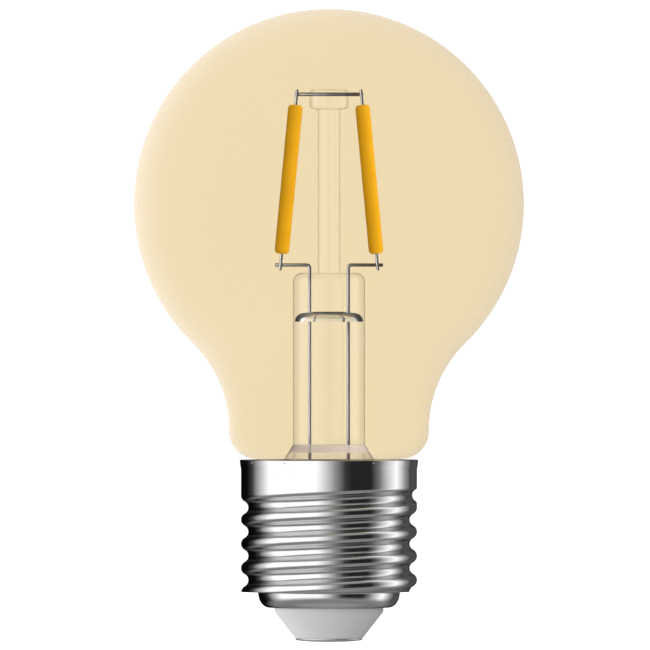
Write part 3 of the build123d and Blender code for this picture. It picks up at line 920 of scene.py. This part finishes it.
@dataclass
class GlassStem:
    """The clear stem: a flare, a tube and the solid press at its top, with the rod and button above.

    Attributes:
        tube_r: Outer radius of the tube.
        wall: Thickness of the tube.
        top_round: Rounding of the press's top edge.
        press_foot: Height at which the cavity ends under the press.
        press_flat: Radius of the flat in the middle of the cavity's end.
        press_sag: How much lower the cavity's end is at its edge.
        press_corner: Rounding of the cavity's corner.
        press_turn: How far that rounding turns, in degrees.
        flare_z: Height at which the flare starts outside.
        inner_flare_z: Height at which it starts inside.
        flare_lean: The flare's lean from upright, in degrees.
        rod_r: Radius of the centre rod.
        rod_fillet: Radius of the fillet between the rod and its button.
        button_z: Height of the button's underside.
        button_round: Rounding of the button's edges.
        exhaust_wall: Thickness of the exhaust tube.
        columns: Steps round the axis.
    """

    tube_r: float = 5.4 * MM
    wall: float = 0.3 * MM
    top_round: float = 1.3 * MM
    press_foot: float = 49.5 * MM
    press_flat: float = 1.9 * MM
    press_sag: float = 0.2 * MM
    press_corner: float = 1.3 * MM
    press_turn: float = 84.0
    flare_z: float = 29.55 * MM
    inner_flare_z: float = 28.35 * MM
    flare_lean: float = 31.0
    rod_r: float = 1.67 * MM
    rod_fillet: float = 0.35 * MM
    button_z: float = 79.9 * MM
    button_round: float = 0.55 * MM
    exhaust_wall: float = 0.6 * MM
    columns: int = 96

    @property
    def bore(self) -> float:
        """Inner radius of the tube."""
        return self.tube_r - self.wall

    @property
    def corner_z(self) -> float:
        """Height at which the cavity's rounded corner starts."""
        return self.press_foot - self.press_sag - self.press_corner

    def stem_outline(self) -> Outline:
        """Draws the stem from its top, down the outside and up the bore to the cavity's end.

        Returns:
            The outline.
        """
        top, bottom = span("stem_flare_tube")
        rim_r = high("stem_flare_tube").x - HAIR
        inner_r = rim_r - self.wall
        slope = math.tan(math.radians(self.flare_lean))
        line = Outline([(0, top)])
        line.rise(self.tube_r - self.top_round, top, 4)
        line.arc((self.tube_r - self.top_round, top - self.top_round), self.top_round, 90, -90, 10)
        line.rise(self.tube_r, self.flare_z, 24)
        line.rise(self.tube_r + (self.flare_z - self.inner_flare_z) * slope, self.inner_flare_z, 3)
        line.rise(rim_r, self.flare_z - (rim_r - self.tube_r) / slope, 6)
        line.to(rim_r, bottom)
        line.to(inner_r, bottom)
        line.to(inner_r, self.inner_flare_z - (inner_r - self.bore) / slope)
        line.rise(self.bore, self.inner_flare_z, 6)
        line.rise(self.bore, self.corner_z, 20)
        corner = (self.bore - self.press_corner, self.corner_z)
        line.arc(corner, self.press_corner, 0, self.press_turn, 12)
        return line.to(self.press_flat, self.press_foot).to(0, self.press_foot)

    def glass_of(self, face: bpy.types.MeshPolygon) -> StemGlass:
        """Tells which part of the stem's surface a face belongs to.

        Args:
            face: A face of the stem.

        Returns:
            The part.
        """
        centre = face.center
        outwards = Vector((centre.x, centre.y, 0))
        past_bore = outwards.length > self.bore + HAIR
        if past_bore and self.inner_flare_z - 10 * HAIR < centre.z < self.flare_z:
            return StemGlass.BEND
        if centre.z < self.inner_flare_z and face.normal.dot(outwards) > 0:
            return StemGlass.LEG
        if past_bore or centre.z >= self.press_foot + 10 * HAIR:
            return StemGlass.OUTSIDE
        return StemGlass.CAVITY_END if centre.z > self.corner_z else StemGlass.BORE

    def build_stem(self, finishes: Finishes) -> None:
        """Turns the stem and gives each part of its surface its glass.

        Args:
            finishes: The bulb's finishes.
        """
        piece = finished(turned(self.stem_outline(), self.columns), "stem_with_press", sharp=50)
        stand_for(piece, "stem_flare_tube", finishes.stem_glass)
        for finish in (finishes.bend_glass, finishes.bore_glass, finishes.end_glass, finishes.leg_glass):
            piece.data.materials.append(finish)
        for face in piece.data.polygons:
            face.material_index = self.glass_of(face)

    def build_rod(self, finishes: Finishes) -> None:
        """Turns the rod and its button.

        Args:
            finishes: The bulb's finishes.
        """
        top, bottom = span("centre_rod")
        edge, fillet = self.button_round, self.rod_fillet
        edge_r = high("centre_rod").x - edge
        line = Outline([(0, top)])
        line.to(edge_r, top)
        line.arc((edge_r, top - edge), edge, 90, -90, 7)
        line.arc((edge_r, self.button_z + edge), edge, 0, -90, 7)
        line.to(self.rod_r + fillet, self.button_z)
        line.arc((self.rod_r + fillet, self.button_z - fillet), fillet, 90, 90, 4)
        line.rise(self.rod_r, bottom + 2 * HAIR, 12)
        line.to(0, bottom + 2 * HAIR)
        piece = finished(turned(line, 64), "centre_rod_with_button", sharp=50)
        stand_for(piece, "centre_rod", finishes.stem_glass)

    def build_exhaust(self, finishes: Finishes) -> None:
        """Turns the exhaust tube with its sealed tip.

        Args:
            finishes: The bulb's finishes.
        """
        top, bottom = span("exhaust_tube")
        radius = high("exhaust_tube").x
        bore = radius - self.exhaust_wall
        line = Outline()
        line.arc((0, bottom + radius), radius, -90, 90, 10)
        line.rise(radius, top - 2 * HAIR, 10)
        line.to(bore, top - 2 * HAIR)
        line.rise(bore, bottom + radius, 10)
        line.arc((0, bottom + radius), bore, 0, -90, 8)
        piece = finished(turned(line, 48), "sealed_exhaust_tube", sharp=50)
        stand_for(piece, "exhaust_tube", finishes.tube_glass)


# Wires and filaments -------------------------------------------------------------------------


@dataclass
class WireFrame:
    """The metal wires in the glass: crossbar, leads, seal wires and tail wires.

    Attributes:
        lead_r: Radius of the leads.
        bend: Radius of the leads' bend.
    """

    lead_r: float = 0.25 * MM
    bend: float = 0.45 * MM

    def build_crossbar(self, finishes: Finishes) -> None:
        """Makes the bar through the button.

        Args:
            finishes: The bulb's finishes.
        """
        near, far = low("top_support_wire"), high("top_support_wire")
        mid = (near + far) / 2
        start, end = Vector((near.x, mid.y, mid.z)), Vector((far.x, mid.y, mid.z))
        piece = WireMaker((far.z - near.z) / 2).straight(start, end, "crossbar_wire")
        stand_for(piece, "top_support_wire", finishes.wire)

    def build_lead(self, side: Side, finishes: Finishes) -> None:
        """Makes the bent wire from the press to a filament's foot.

        Args:
            side: Which side it stands on.
            finishes: The bulb's finishes.
        """
        node = f"lead_wire_{side.word}"
        near, far = low(node), high(node)
        tip_x, foot_x = (near.x, far.x) if side is Side.LEFT else (far.x, near.x)
        foot_x += side.value * self.lead_r
        arm_z = far.z - self.lead_r
        corner, tip = Vector((foot_x, 0, arm_z)), Vector((tip_x, 0, arm_z))
        name = f"bent_lead_{side.word}"
        piece = WireMaker(self.lead_r).bent(Vector((foot_x, 0, near.z)), corner, tip, self.bend, name)
        stand_for(piece, node, finishes.wire)

    def build(self, finishes: Finishes) -> None:
        """Makes every wire in its node's place.

        Args:
            finishes: The bulb's finishes.
        """
        self.build_crossbar(finishes)
        for side in Side:
            self.build_lead(side, finishes)
            for kind, words in (("seal_wire", "press_seal_wire"), ("tail_wire", "stem_tail_wire")):
                node = f"{kind}_{side.word}"
                near, far = low(node), high(node)
                centre_x = ((near + far) / 2).x
                start, end = Vector((centre_x, 0, near.z)), Vector((centre_x, 0, far.z))
                piece = WireMaker(self.lead_r).straight(start, end, f"{words}_{side.word}")
                stand_for(piece, node, finishes.wire)


@dataclass
class Filament:
    """One filament: a yellow coat over its strip of chips, with a pin at each end.

    Attributes:
        side: Which side of the rod it stands on.
        coat_r: Radius of the coat.
        coat_round: Rounding of the coat's ends.
        swell: How much the coat thins between its swellings, as a share of its radius.
        swellings: How many there are along it.
        pin_r: Radius of the pins.
        pin_inside: How far the pins run inside the coat.
        columns: Steps round the coat.
    """

    side: Side
    coat_r: float = 1.1 * MM
    coat_round: float = 0.58 * MM
    swell: float = 0.012
    swellings: int = 5
    pin_r: float = 0.225 * MM
    pin_inside: float = 1.0 * MM
    columns: int = 48

    def ends(self) -> tuple[Vector, Vector]:
        """Works out the coat's lower and upper end on its axis from its node's box.

        The lean and the half length each depend on the other, so they are worked out in turns.

        Returns:
            The lower end and the upper end.
        """
        node = f"filament_{self.side.word}_coating"
        near, far = low(node), high(node)
        width, rise = far.x - near.x, far.z - near.z
        mid = (near + far) / 2
        lean = math.asin(min(1.0, (width - 2 * self.coat_r) / rise))
        half = rise / 2
        for _ in range(8):
            half = (rise / 2 - (self.coat_r - self.coat_round) * math.sin(lean)) / math.cos(lean)
            reach = width / 2 - self.coat_r * math.cos(lean)
            lean = math.asin(max(0.0, reach) / half)
        along = Vector((-self.side.value * math.sin(lean), 0, math.cos(lean)))
        return mid - along * half, mid + along * half

    def build_coat(self, foot: Vector, head: Vector, finishes: Finishes) -> None:
        """Turns the coat, lets it swell very slightly along its length, and leans it into place.

        Args:
            foot: Its lower end.
            head: Its upper end.
            finishes: The bulb's finishes.
        """
        length = (head - foot).length
        edge = self.coat_round
        line = Outline([(0, 0), (self.pin_r * 1.5, 0)])
        line.arc((self.coat_r - edge, edge), edge, -90, 90, 8)
        line.rise(self.coat_r, length - edge, 48)
        line.arc((self.coat_r - edge, length - edge), edge, 0, 90, 8)
        line.to(self.pin_r * 1.5, length).to(0, length)
        mesh = turned(line, self.columns)
        for point in mesh.verts:
            wave = math.cos(2 * math.pi * self.swellings * point.co.z / length + self.side.value)
            point.co.xy *= 1 - self.swell * (1 + wave) / 2
        turn = (head - foot).to_track_quat("Z", "Y").to_matrix().to_4x4()
        bmesh.ops.transform(mesh, matrix=Matrix.Translation(foot) @ turn, verts=mesh.verts)
        piece = finished(mesh, f"phosphor_coat_{self.side.word}")
        stand_for(piece, f"filament_{self.side.word}_coating", finishes.phosphor)

    def build(self, finishes: Finishes) -> None:
        """Makes the coat and its pins, and dresses the strip and chips inside.

        Args:
            finishes: The bulb's finishes.
        """
        foot, head = self.ends()
        self.build_coat(foot, head, finishes)
        along = (head - foot).normalized()
        for end, place, way in (("top", head, along), ("bottom", foot, -along)):
            node = f"filament_{self.side.word}_{end}_pin"
            top, bottom = span(node)
            length = (top - bottom - 2 * self.pin_r * abs(along.x)) / along.z
            start = place - way * self.pin_inside
            pins = WireMaker(self.pin_r, sides=20)
            piece = pins.straight(start, start + way * length, f"{end}_pin_{self.side.word}")
            stand_for(piece, node, finishes.wire)
        dress(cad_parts[f"filament_{self.side.word}_strip"], finishes.strip)
        dress(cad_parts[f"filament_{self.side.word}_chips"], finishes.led)


# The cap -------------------------------------------------------------------------------------


@dataclass
class ScrewShell:
    """The pressed shell: a rolled right-hand thread under a plain skirt, and a rounded shoulder.

    Attributes:
        sheet: Thickness of the metal.
        pitch: Rise of the thread in one turn.
        crest_r: Radius of the thread's crests.
        root_r: Radius of its roots.
        groove_z: Height of the topmost whole groove at the bulb's left side.
        fade_start: Angle round the groove, in degrees, at which it starts to run out.
        fade_end: Angle at which it has run out.
        fade_round: Rounding of the crest where the groove runs out.
        ledge_z: Height of the flat ledge that cuts the thread off.
        edge: Rounding of the ledge's edges.
        shoulder_r: Radius of the shoulder.
        shoulder_round: Rounding of the shoulder's lower edge.
        hole_r: Radius of the hole in the floor.
        lip_z: Height at which the skirt starts to open.
        skirt: Height of the plain skirt just under that.
        thread_rows: Steps up the thread.
        punch_z: Height of the punch marks.
        punch_reach: Where they stand between the crests' radius, 0, and the rim's, 1.
        punch_r: Radius of a punch mark.
        punch_count: How many there are.
        punch_section: A mark's section, as radius and height in shares of its radius.
        columns: Steps round the axis.
    """

    sheet: float = 0.3 * MM
    pitch: float = 3.629 * MM
    crest_r: float = 13.2 * MM
    root_r: float = 12.1 * MM
    groove_z: float = 20.12 * MM
    fade_start: float = 290.0
    fade_end: float = 467.0
    fade_round: float = 0.10 * MM
    ledge_z: float = 7.45 * MM
    edge: float = 0.06 * MM
    shoulder_r: float = 10.65 * MM
    shoulder_round: float = 1.65 * MM
    hole_r: float = 7.5 * MM
    lip_z: float = 25.8 * MM
    skirt: float = 1.2 * MM
    thread_rows: int = 136
    punch_z: float = 26.9 * MM
    punch_reach: float = 0.75
    punch_r: float = 0.19 * MM
    punch_count: int = 12
    punch_section: Stops = ((0, -0.35), (0.45, -0.2), (0.75, 0.12), (1, -0.1), (1, -0.9), (0, -0.9))
    columns: int = 240

    def groove_depth(self, angle: float, height: float) -> float:
        """How far the thread's surface lies inside its crests.

        Args:
            angle: Angle round the axis in degrees, from +X towards +Y.
            height: Height of the point.

        Returns:
            The depth, 0 on a crest or above the thread.
        """
        depth = self.crest_r - self.root_r
        half = self.pitch / 2
        curve = (depth**2 + half**2) / (4 * depth)
        turn = round((height - self.groove_z) / self.pitch - (angle - 180) / 360)
        around = angle + 360 * turn
        off = abs(height - self.groove_z - self.pitch * (around - 180) / 360)
        if off < half / 2:
            here = depth - curve + math.sqrt(curve**2 - off**2)
        else:
            here = curve - math.sqrt(max(0.0, curve**2 - (half - off) ** 2))
        share = min(1.0, max(0.0, (around - self.fade_start) / (self.fade_end - self.fade_start)))
        fade = share * share * (3 - 2 * share)
        if fade >= 1:
            return 0.0
        here -= depth * fade
        softness = self.fade_round * min(1.0, fade * 4)
        return (here + math.sqrt(here * here + softness * softness)) / 2

    def outer_section(self) -> Outline:
        """Draws the outside from the hole in the floor up to the rim.

        Returns:
            The outline.
        """
        rim_z, floor_z = span("screw_shell")
        rim_r = high("screw_shell").x
        opening = rim_r - self.crest_r
        tall = self.ledge_z - self.edge - floor_z
        line = Outline([(self.hole_r, floor_z)])
        corner = (self.shoulder_r - self.shoulder_round, floor_z + tall)
        line.arc(corner, self.shoulder_round, -90, 90, 16, tall)
        line.to(self.shoulder_r + self.edge, self.ledge_z)
        line.to(self.crest_r - self.edge, self.ledge_z)
        line.to(self.crest_r, self.ledge_z + self.edge)
        line.rise(self.crest_r, self.lip_z - self.skirt, self.thread_rows)
        line.rise(self.crest_r, self.lip_z, 3)
        line.rise(self.crest_r + opening * 0.6, self.punch_z - self.sheet, 2)
        line.to(self.crest_r + opening * self.punch_reach, self.punch_z)
        line.to(rim_r - 2 * HAIR, rim_z - 8 * HAIR)
        return line.arc((rim_r - self.sheet / 2, rim_z - self.sheet / 2), self.sheet / 2, 20, 140, 4)

    def section(self) -> Outline:
        """Draws the sheet's whole section: outside upwards, over the rim and down the inside.

        Returns:
            The outline.
        """
        floor_z = low("screw_shell").z
        inner_r, inner_z = self.crest_r - self.sheet, self.ledge_z + self.sheet
        edge = self.shoulder_round
        line = self.outer_section()
        line.to(inner_r, self.lip_z)
        line.rise(inner_r, inner_z, 90)
        line.to(self.shoulder_r - self.sheet, inner_z)
        line.arc((self.shoulder_r - edge, floor_z + edge), edge - self.sheet, 0, -90, 6)
        return line.to(self.hole_r, floor_z + self.sheet)

    def build(self, finishes: Finishes) -> None:
        """Turns the sheet and rolls the thread into it.

        Args:
            finishes: The bulb's finishes.
        """
        mesh = turned(self.section(), self.columns, closed=True)
        for point in mesh.verts:
            radius = point.co.xy.length
            if radius < self.crest_r - 2 * self.sheet or point.co.z > self.lip_z - 0.5 * MM:
                continue
            angle = math.degrees(math.atan2(point.co.y, point.co.x)) % 360
            point.co.xy *= (radius - self.groove_depth(angle, point.co.z)) / radius
        stand_for(finished(mesh, "rolled_screw_shell", sharp=50), "screw_shell", finishes.shell)

    def build_marks(self, finishes: Finishes) -> None:
        """Makes the ring of small round punch marks under the rim, each a shallow cup with a raised edge.

        Args:
            finishes: The bulb's finishes.
        """
        mesh = bmesh.new()
        skirt_r = self.crest_r + (high("screw_shell").x - self.crest_r) * self.punch_reach
        cup = Outline([(across * self.punch_r, up * self.punch_r) for across, up in self.punch_section])
        face_front = Matrix.Rotation(math.pi / 2, 3, "X")
        for index in range(self.punch_count):
            one = turned(cup, 20)
            bmesh.ops.rotate(one, verts=one.verts, cent=(0, 0, 0), matrix=face_front)
            bmesh.ops.translate(one, verts=one.verts, vec=(0, -skirt_r, self.punch_z))
            turn = Matrix.Rotation(2 * math.pi * index / self.punch_count, 3, "Z")
            bmesh.ops.rotate(one, verts=one.verts, cent=(0, 0, 0), matrix=turn)
            part = bpy.data.meshes.new("mark")
            one.to_mesh(part)
            one.free()
            mesh.from_mesh(part)
            bpy.data.meshes.remove(part)
        piece = finished(mesh, "rim_punch_marks", sharp=35)
        dress(piece, finishes.shell)
        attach(piece, BODY)


@dataclass
class CapFoot:
    """The insulator cone under the shell and the contact disc in its end.

    Attributes:
        flange_r: Radius of the flange inside the shell.
        hole_r: Radius of the hole in the shell's floor.
        floor: Thickness of that floor.
        cone_r: Radius of the cone's upper end.
        cone_z: Height at which the cone starts.
        tip_r: Radius of the cone's lower end.
        shank_r: Radius of the contact's shank.
        disc: Thickness of the contact's disc.
        flat_r: Radius of the flat in the disc's middle.
        dome: How far the disc curves up towards its edge.
        dome_power: How late it does so; 2 is a parabola.
        edge: Rounding of the moulded edges.
        columns: Steps round the axis.
    """

    flange_r: float = 8.9 * MM
    hole_r: float = 7.5 * MM
    floor: float = 0.3 * MM
    cone_r: float = 8.2 * MM
    cone_z: float = 4.55 * MM
    tip_r: float = 5.1 * MM
    shank_r: float = 1.3 * MM
    disc: float = 0.5 * MM
    flat_r: float = 2.5 * MM
    dome: float = 0.2 * MM
    dome_power: float = 1.6
    edge: float = 0.12 * MM
    columns: int = 128

    def build_insulator(self, finishes: Finishes) -> None:
        """Turns the moulded insulator with eased edges.

        Args:
            finishes: The bulb's finishes.
        """
        top = high("base_insulator").z
        floor_z = low("screw_shell").z
        edge, cone_r = self.edge, self.cone_r
        line = Outline([(self.shank_r, self.disc)])
        line.to(self.tip_r - edge, self.disc)
        line.to(self.tip_r + edge * 0.4, self.disc + edge)
        line.rise(cone_r - edge * 0.5, self.cone_z - edge, 10)
        line.to(cone_r, self.cone_z + edge).to(cone_r, floor_z - edge)
        line.to(cone_r - edge, floor_z - HAIR)
        line.to(self.hole_r, floor_z - HAIR).to(self.hole_r, floor_z + self.floor)
        line.to(self.flange_r, floor_z + self.floor).to(self.flange_r, top - edge)
        line.to(self.flange_r - edge, top).to(self.shank_r, top)
        piece = finished(turned(line, self.columns, closed=True), "insulator_cone", sharp=30)
        stand_for(piece, "base_insulator", finishes.insulator)

    def build_contact(self, finishes: Finishes) -> None:
        """Turns the contact: a slightly domed disc on a shank.

        Args:
            finishes: The bulb's finishes.
        """
        corner = high("centre_contact")
        disc_r, top = corner.x, corner.z
        line = Outline([(0, 0), (self.flat_r, 0)])
        steps = 12
        for step in range(1, steps + 1):
            share = step / steps
            radius = self.flat_r + (disc_r - self.edge - self.flat_r) * share
            line.to(radius, self.dome * share**self.dome_power)
        line.to(disc_r, self.dome + self.edge * 0.8).to(disc_r, self.disc)
        line.to(self.shank_r, self.disc).to(self.shank_r, top - self.edge)
        line.to(self.shank_r - self.edge, top).to(0, top)
        piece = finished(turned(line, self.columns), "contact_disc", sharp=30)
        stand_for(piece, "centre_contact", finishes.contact)


class Driver:
    """The boards, their parts, the liner and the cement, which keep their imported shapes."""

    def build(self, finishes: Finishes) -> None:
        """Gives each hidden node its finish.

        Args:
            finishes: The bulb's finishes.
        """
        groups = (
            (finishes.cement, ("basing_cement",)),
            (finishes.liner, ("driver_sleeve",)),
            (finishes.board, ("driver_board", "radio_board")),
            (finishes.black, ("led_driver_chip", "bridge_rectifier", "radio_chip", "smd_resistors")),
            (finishes.tin, ("radio_crystal", "radio_shield_can")),
            (finishes.sleeve, ("bulk_capacitor",)),
            (finishes.ferrite, ("inductor_core",)),
            (finishes.copper, ("inductor_winding", "radio_antenna", "live_lead", "neutral_lead")),
            (finishes.lacquer, ("fusible_resistor",)),
            (finishes.ceramic, ("smd_capacitors",)),
            (finishes.gold, ("board_link_pins",)),
            (finishes.solder, ("solder_joints",)),
        )
        for finish, nodes in groups:
            for node in nodes:
                dress(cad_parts[node], finish)


# Studio --------------------------------------------------------------------------------------


class Sky(NodeTree):
    """A world's node tree that draws light by its direction, in degrees from the bulb's front."""

    def __init__(self, name: str) -> None:
        """Starts a world and works out the angles of each direction.

        Args:
            name: The world's name.
        """
        world = bpy.data.worlds.new(name)
        bpy.context.scene.world = world
        world.use_nodes = True
        super().__init__(world.node_tree)
        parts = self.add("ShaderNodeSeparateXYZ")
        self.put(self.add("ShaderNodeTexCoord").outputs["Generated"], parts.inputs["Vector"])
        self.x, self.y, upwards = parts.outputs
        azimuth = self.maths("ARCTAN2", self.x, self.maths("MULTIPLY", self.y, -1.0))
        self.turn = self.between(azimuth, 0.0, 1.0, -math.pi, math.pi)
        self.height = self.between(self.maths("ARCSINE", upwards), 0.0, 1.0, -math.pi / 2, math.pi / 2)

    def around(self, stops: Stops) -> Socket:
        """A grey that changes with the angle round the bulb, positive to its right."""
        return self.ramp(self.turn, [((angle + 180) / 360, level) for angle, level in stops])

    def upwards(self, stops: Stops) -> Socket:
        """A grey that changes with the height above the horizon."""
        return self.ramp(self.height, [((angle + 90) / 180, level) for angle, level in stops])

    def across(self, left: float, right: float) -> Socket:
        """A grey that changes evenly from the bulb's left side to its right."""
        return self.between(self.x, left, right, -1.0, 1.0)


@dataclass
class RoomLight:
    """The soft room round the bulb: white behind it, tall panels round it, and grey above and below.

    Directions are pairs of an angle in degrees and a grey: round the bulb from its front, positive to
    its right, or up from the horizon. What a ray meets depends on its kind, so that clear glass stays
    clear, matt faces get an even light, and bright metal shows the panels.

    Attributes:
        panels: The tall panels, round the bulb.
        below: Where the grey below the panels takes over.
        above: Where the grey above them takes over.
        above_share: How much of it does, round the bulb.
        caps: The grey above and below, by height.
        panes: The panels that show in reflections inside the glass, round the bulb.
        pane_height: How high these reach.
        pane_light: Their brightness and colour.
        inside_sides: Soft light on matt faces inside the glass, from the left and from the right.
        inside_light: Its colour.
        outside_sides: Soft light on matt faces outside, from the left and from the right.
        rear_start: How far back, 0 to 1, the brighter light behind the bulb's left starts.
        rear_side: How far to the left, 0 to -1, it is full.
        rear_light: Its brightness.
        strength: Brightness of the whole room.
    """

    panels: Stops = (
        (-180, 0.004), (-134, 0.005), (-120, 0.05), (-100, 0.55), (-86, 1.0), (-18, 1.0),
        (-3, 0.58), (8, 0.26), (21, 0.04), (30, 0.016), (58, 0.017), (70, 0.16),
        (82, 0.52), (100, 1.0), (118, 0.34), (134, 0.07), (158, 0.15), (180, 0.05),
    )
    below: Stops = ((-35, 1.0), (-20, 0.0))
    above: Stops = ((32, 0.0), (46, 1.0))
    above_share: Stops = ((-180, 1.0), (56, 1.0), (80, 0.15), (108, 0.15), (130, 1.0))
    caps: Stops = (
        (-90, 0.24), (-70, 0.26), (-52, 0.18), (-36, 0.22),
        (34, 0.22), (46, 0.22), (64, 0.33), (90, 0.26),
    )
    panes: Stops = (
        (-122, 0.014), (-92, 1.0), (-22, 1.0), (0, 0.11),
        (24, 0.01), (60, 0.01), (96, 0.4), (120, 0.014),
    )
    pane_height: Stops = ((-40, 0.0), (-25, 1.0), (25, 1.0), (40, 0.0))
    pane_light: Colour = (3.0, 3.5, 5.4)
    inside_sides: tuple[float, float] = (0.2, 1.75)
    inside_light: Colour = (1.1, 1.1, 1.65)
    outside_sides: tuple[float, float] = (1.06, 0.26)
    rear_start: float = 0.45
    rear_side: float = -0.6
    rear_light: float = 6.5
    strength: float = 1.1

    def clear_light(self, sky: Sky, seen_through: Socket, reflected: Socket) -> Socket:
        """What bright metal reflects, and what is seen through glass.

        Args:
            sky: The world's tree.
            seen_through: 1 on rays that have passed glass.
            reflected: 1 on rays that have been reflected.

        Returns:
            The light.
        """
        held = sky.maths("MULTIPLY", sky.upwards(self.above), sky.around(self.above_share))
        beyond = sky.maths("MAXIMUM", sky.upwards(self.below), held)
        room = sky.mix(beyond, sky.around(self.panels), sky.upwards(self.caps))
        panes = sky.mix(1.0, sky.around(self.panes), self.pane_light, "MULTIPLY")
        inside = sky.mix(sky.upwards(self.pane_height), room, panes)
        return sky.mix(seen_through, room, sky.mix(reflected, 1.0, inside))

    def soft_light(self, sky: Sky, seen_through: Socket) -> Socket:
        """What lights matt faces, outside the glass and inside it.

        Args:
            sky: The world's tree.
            seen_through: 1 on rays that have passed glass.

        Returns:
            The light.
        """
        rear = sky.between(sky.y, 0.0, 1.0, self.rear_start)
        left = sky.between(sky.x, 0.0, 1.0, 0.0, self.rear_side)
        rear_left = sky.maths("MULTIPLY", rear, left)
        outside = sky.mix(rear_left, sky.across(*self.outside_sides), self.rear_light)
        inside = sky.mix(1.0, sky.across(*self.inside_sides), self.inside_light, "MULTIPLY")
        return sky.mix(seen_through, outside, inside)

    def build(self) -> None:
        """Builds the world."""
        sky = Sky("soft_studio")
        ray = sky.add("ShaderNodeLightPath").outputs
        seen_through = ray["Is Transmission Ray"]
        reflected = sky.maths("GREATER_THAN", ray["Glossy Depth"], 0.5)
        scattered = sky.maths("GREATER_THAN", ray["Diffuse Depth"], 0.5)
        clear = self.clear_light(sky, seen_through, reflected)
        lit = sky.mix(scattered, clear, self.soft_light(sky, seen_through))
        glow = sky.add("ShaderNodeBackground")
        sky.put(sky.mix(ray["Is Camera Ray"], lit, 1.0), glow.inputs["Color"])
        sky.put(self.strength, glow.inputs["Strength"])
        sky.put(glow.outputs["Background"], sky.add("ShaderNodeOutputWorld").inputs["Surface"])


@dataclass
class Studio:
    """Camera, floor and a soft room of light around the bulb.

    Attributes:
        lens: Focal length in millimetres of a very long lens.
        sensor: Sensor width in millimetres.
        width: Width of what the camera frames, at the bulb.
        aim: Where the camera points, in the plane of the bulb's axis.
        floor_r: Radius of the floor.
        light: The room's light.
    """

    lens: float = 1000.0
    sensor: float = 36.0
    width: float = 97.5 * MM
    aim: tuple[float, float] = (-0.6 * MM, 47.5 * MM)
    floor_r: float = 0.6
    light: RoomLight = field(default_factory=RoomLight)

    def build_camera(self) -> None:
        """Puts the camera square in front of the bulb."""
        data = bpy.data.cameras.new("front_camera")
        data.type = "PERSP"
        data.sensor_width = self.sensor
        data.lens = self.lens
        data.clip_start = 0.1
        data.clip_end = 10.0
        camera = bpy.data.objects.new("front_camera", data)
        bpy.context.scene.collection.objects.link(camera)
        camera.location = (self.aim[0], -self.width * self.lens / self.sensor, self.aim[1])
        camera.rotation_euler = (math.pi / 2, 0, 0)
        bpy.context.scene.camera = camera

    def build_floor(self) -> None:
        """Lays a plain pale floor just under the bulb, which only the camera sees."""
        mesh = bmesh.new()
        bmesh.ops.create_circle(mesh, cap_ends=True, segments=96, radius=self.floor_r)
        bmesh.ops.translate(mesh, verts=mesh.verts, vec=(0, 0, -2 * HAIR))
        floor = finished(mesh, "pale_floor")
        sheet = NodeSheet("pale_floor")
        sheet.set(Base_Color=grey(0.9), Roughness=0.9, Specular_IOR_Level=0.0)
        sheet.set(Emission_Color=grey(1.0), Emission_Strength=1.0)
        dress(floor, sheet.material)
        floor.visible_glossy = False
        floor.visible_transmission = False
        floor.visible_diffuse = False

    def build(self) -> None:
        """Builds the camera first, then the floor and the light."""
        self.build_camera()
        self.build_floor()
        self.light.build()
        scene = bpy.context.scene
        scene.world.cycles.sampling_method = "NONE"
        scene.view_settings.view_transform = "Standard"
        scene.cycles.max_bounces = 24
        scene.cycles.transmission_bounces = 24
        scene.cycles.diffuse_bounces = 6
        scene.cycles.glossy_bounces = 8


def main() -> None:
    """Builds the studio, then the bulb from its glass to its foot."""
    logging.basicConfig(level=logging.INFO, format="%(message)s")
    Studio().build()
    finishes = Finishes()
    GlassBulb().build(finishes)
    stem = GlassStem()
    stem.build_stem(finishes)
    stem.build_rod(finishes)
    stem.build_exhaust(finishes)
    WireFrame().build(finishes)
    for side in Side:
        Filament(side).build(finishes)
    shell = ScrewShell()
    shell.build(finishes)
    shell.build_marks(finishes)
    foot = CapFoot()
    foot.build_insulator(finishes)
    foot.build_contact(finishes)
    Driver().build(finishes)


if __name__ == "__main__":
    main()
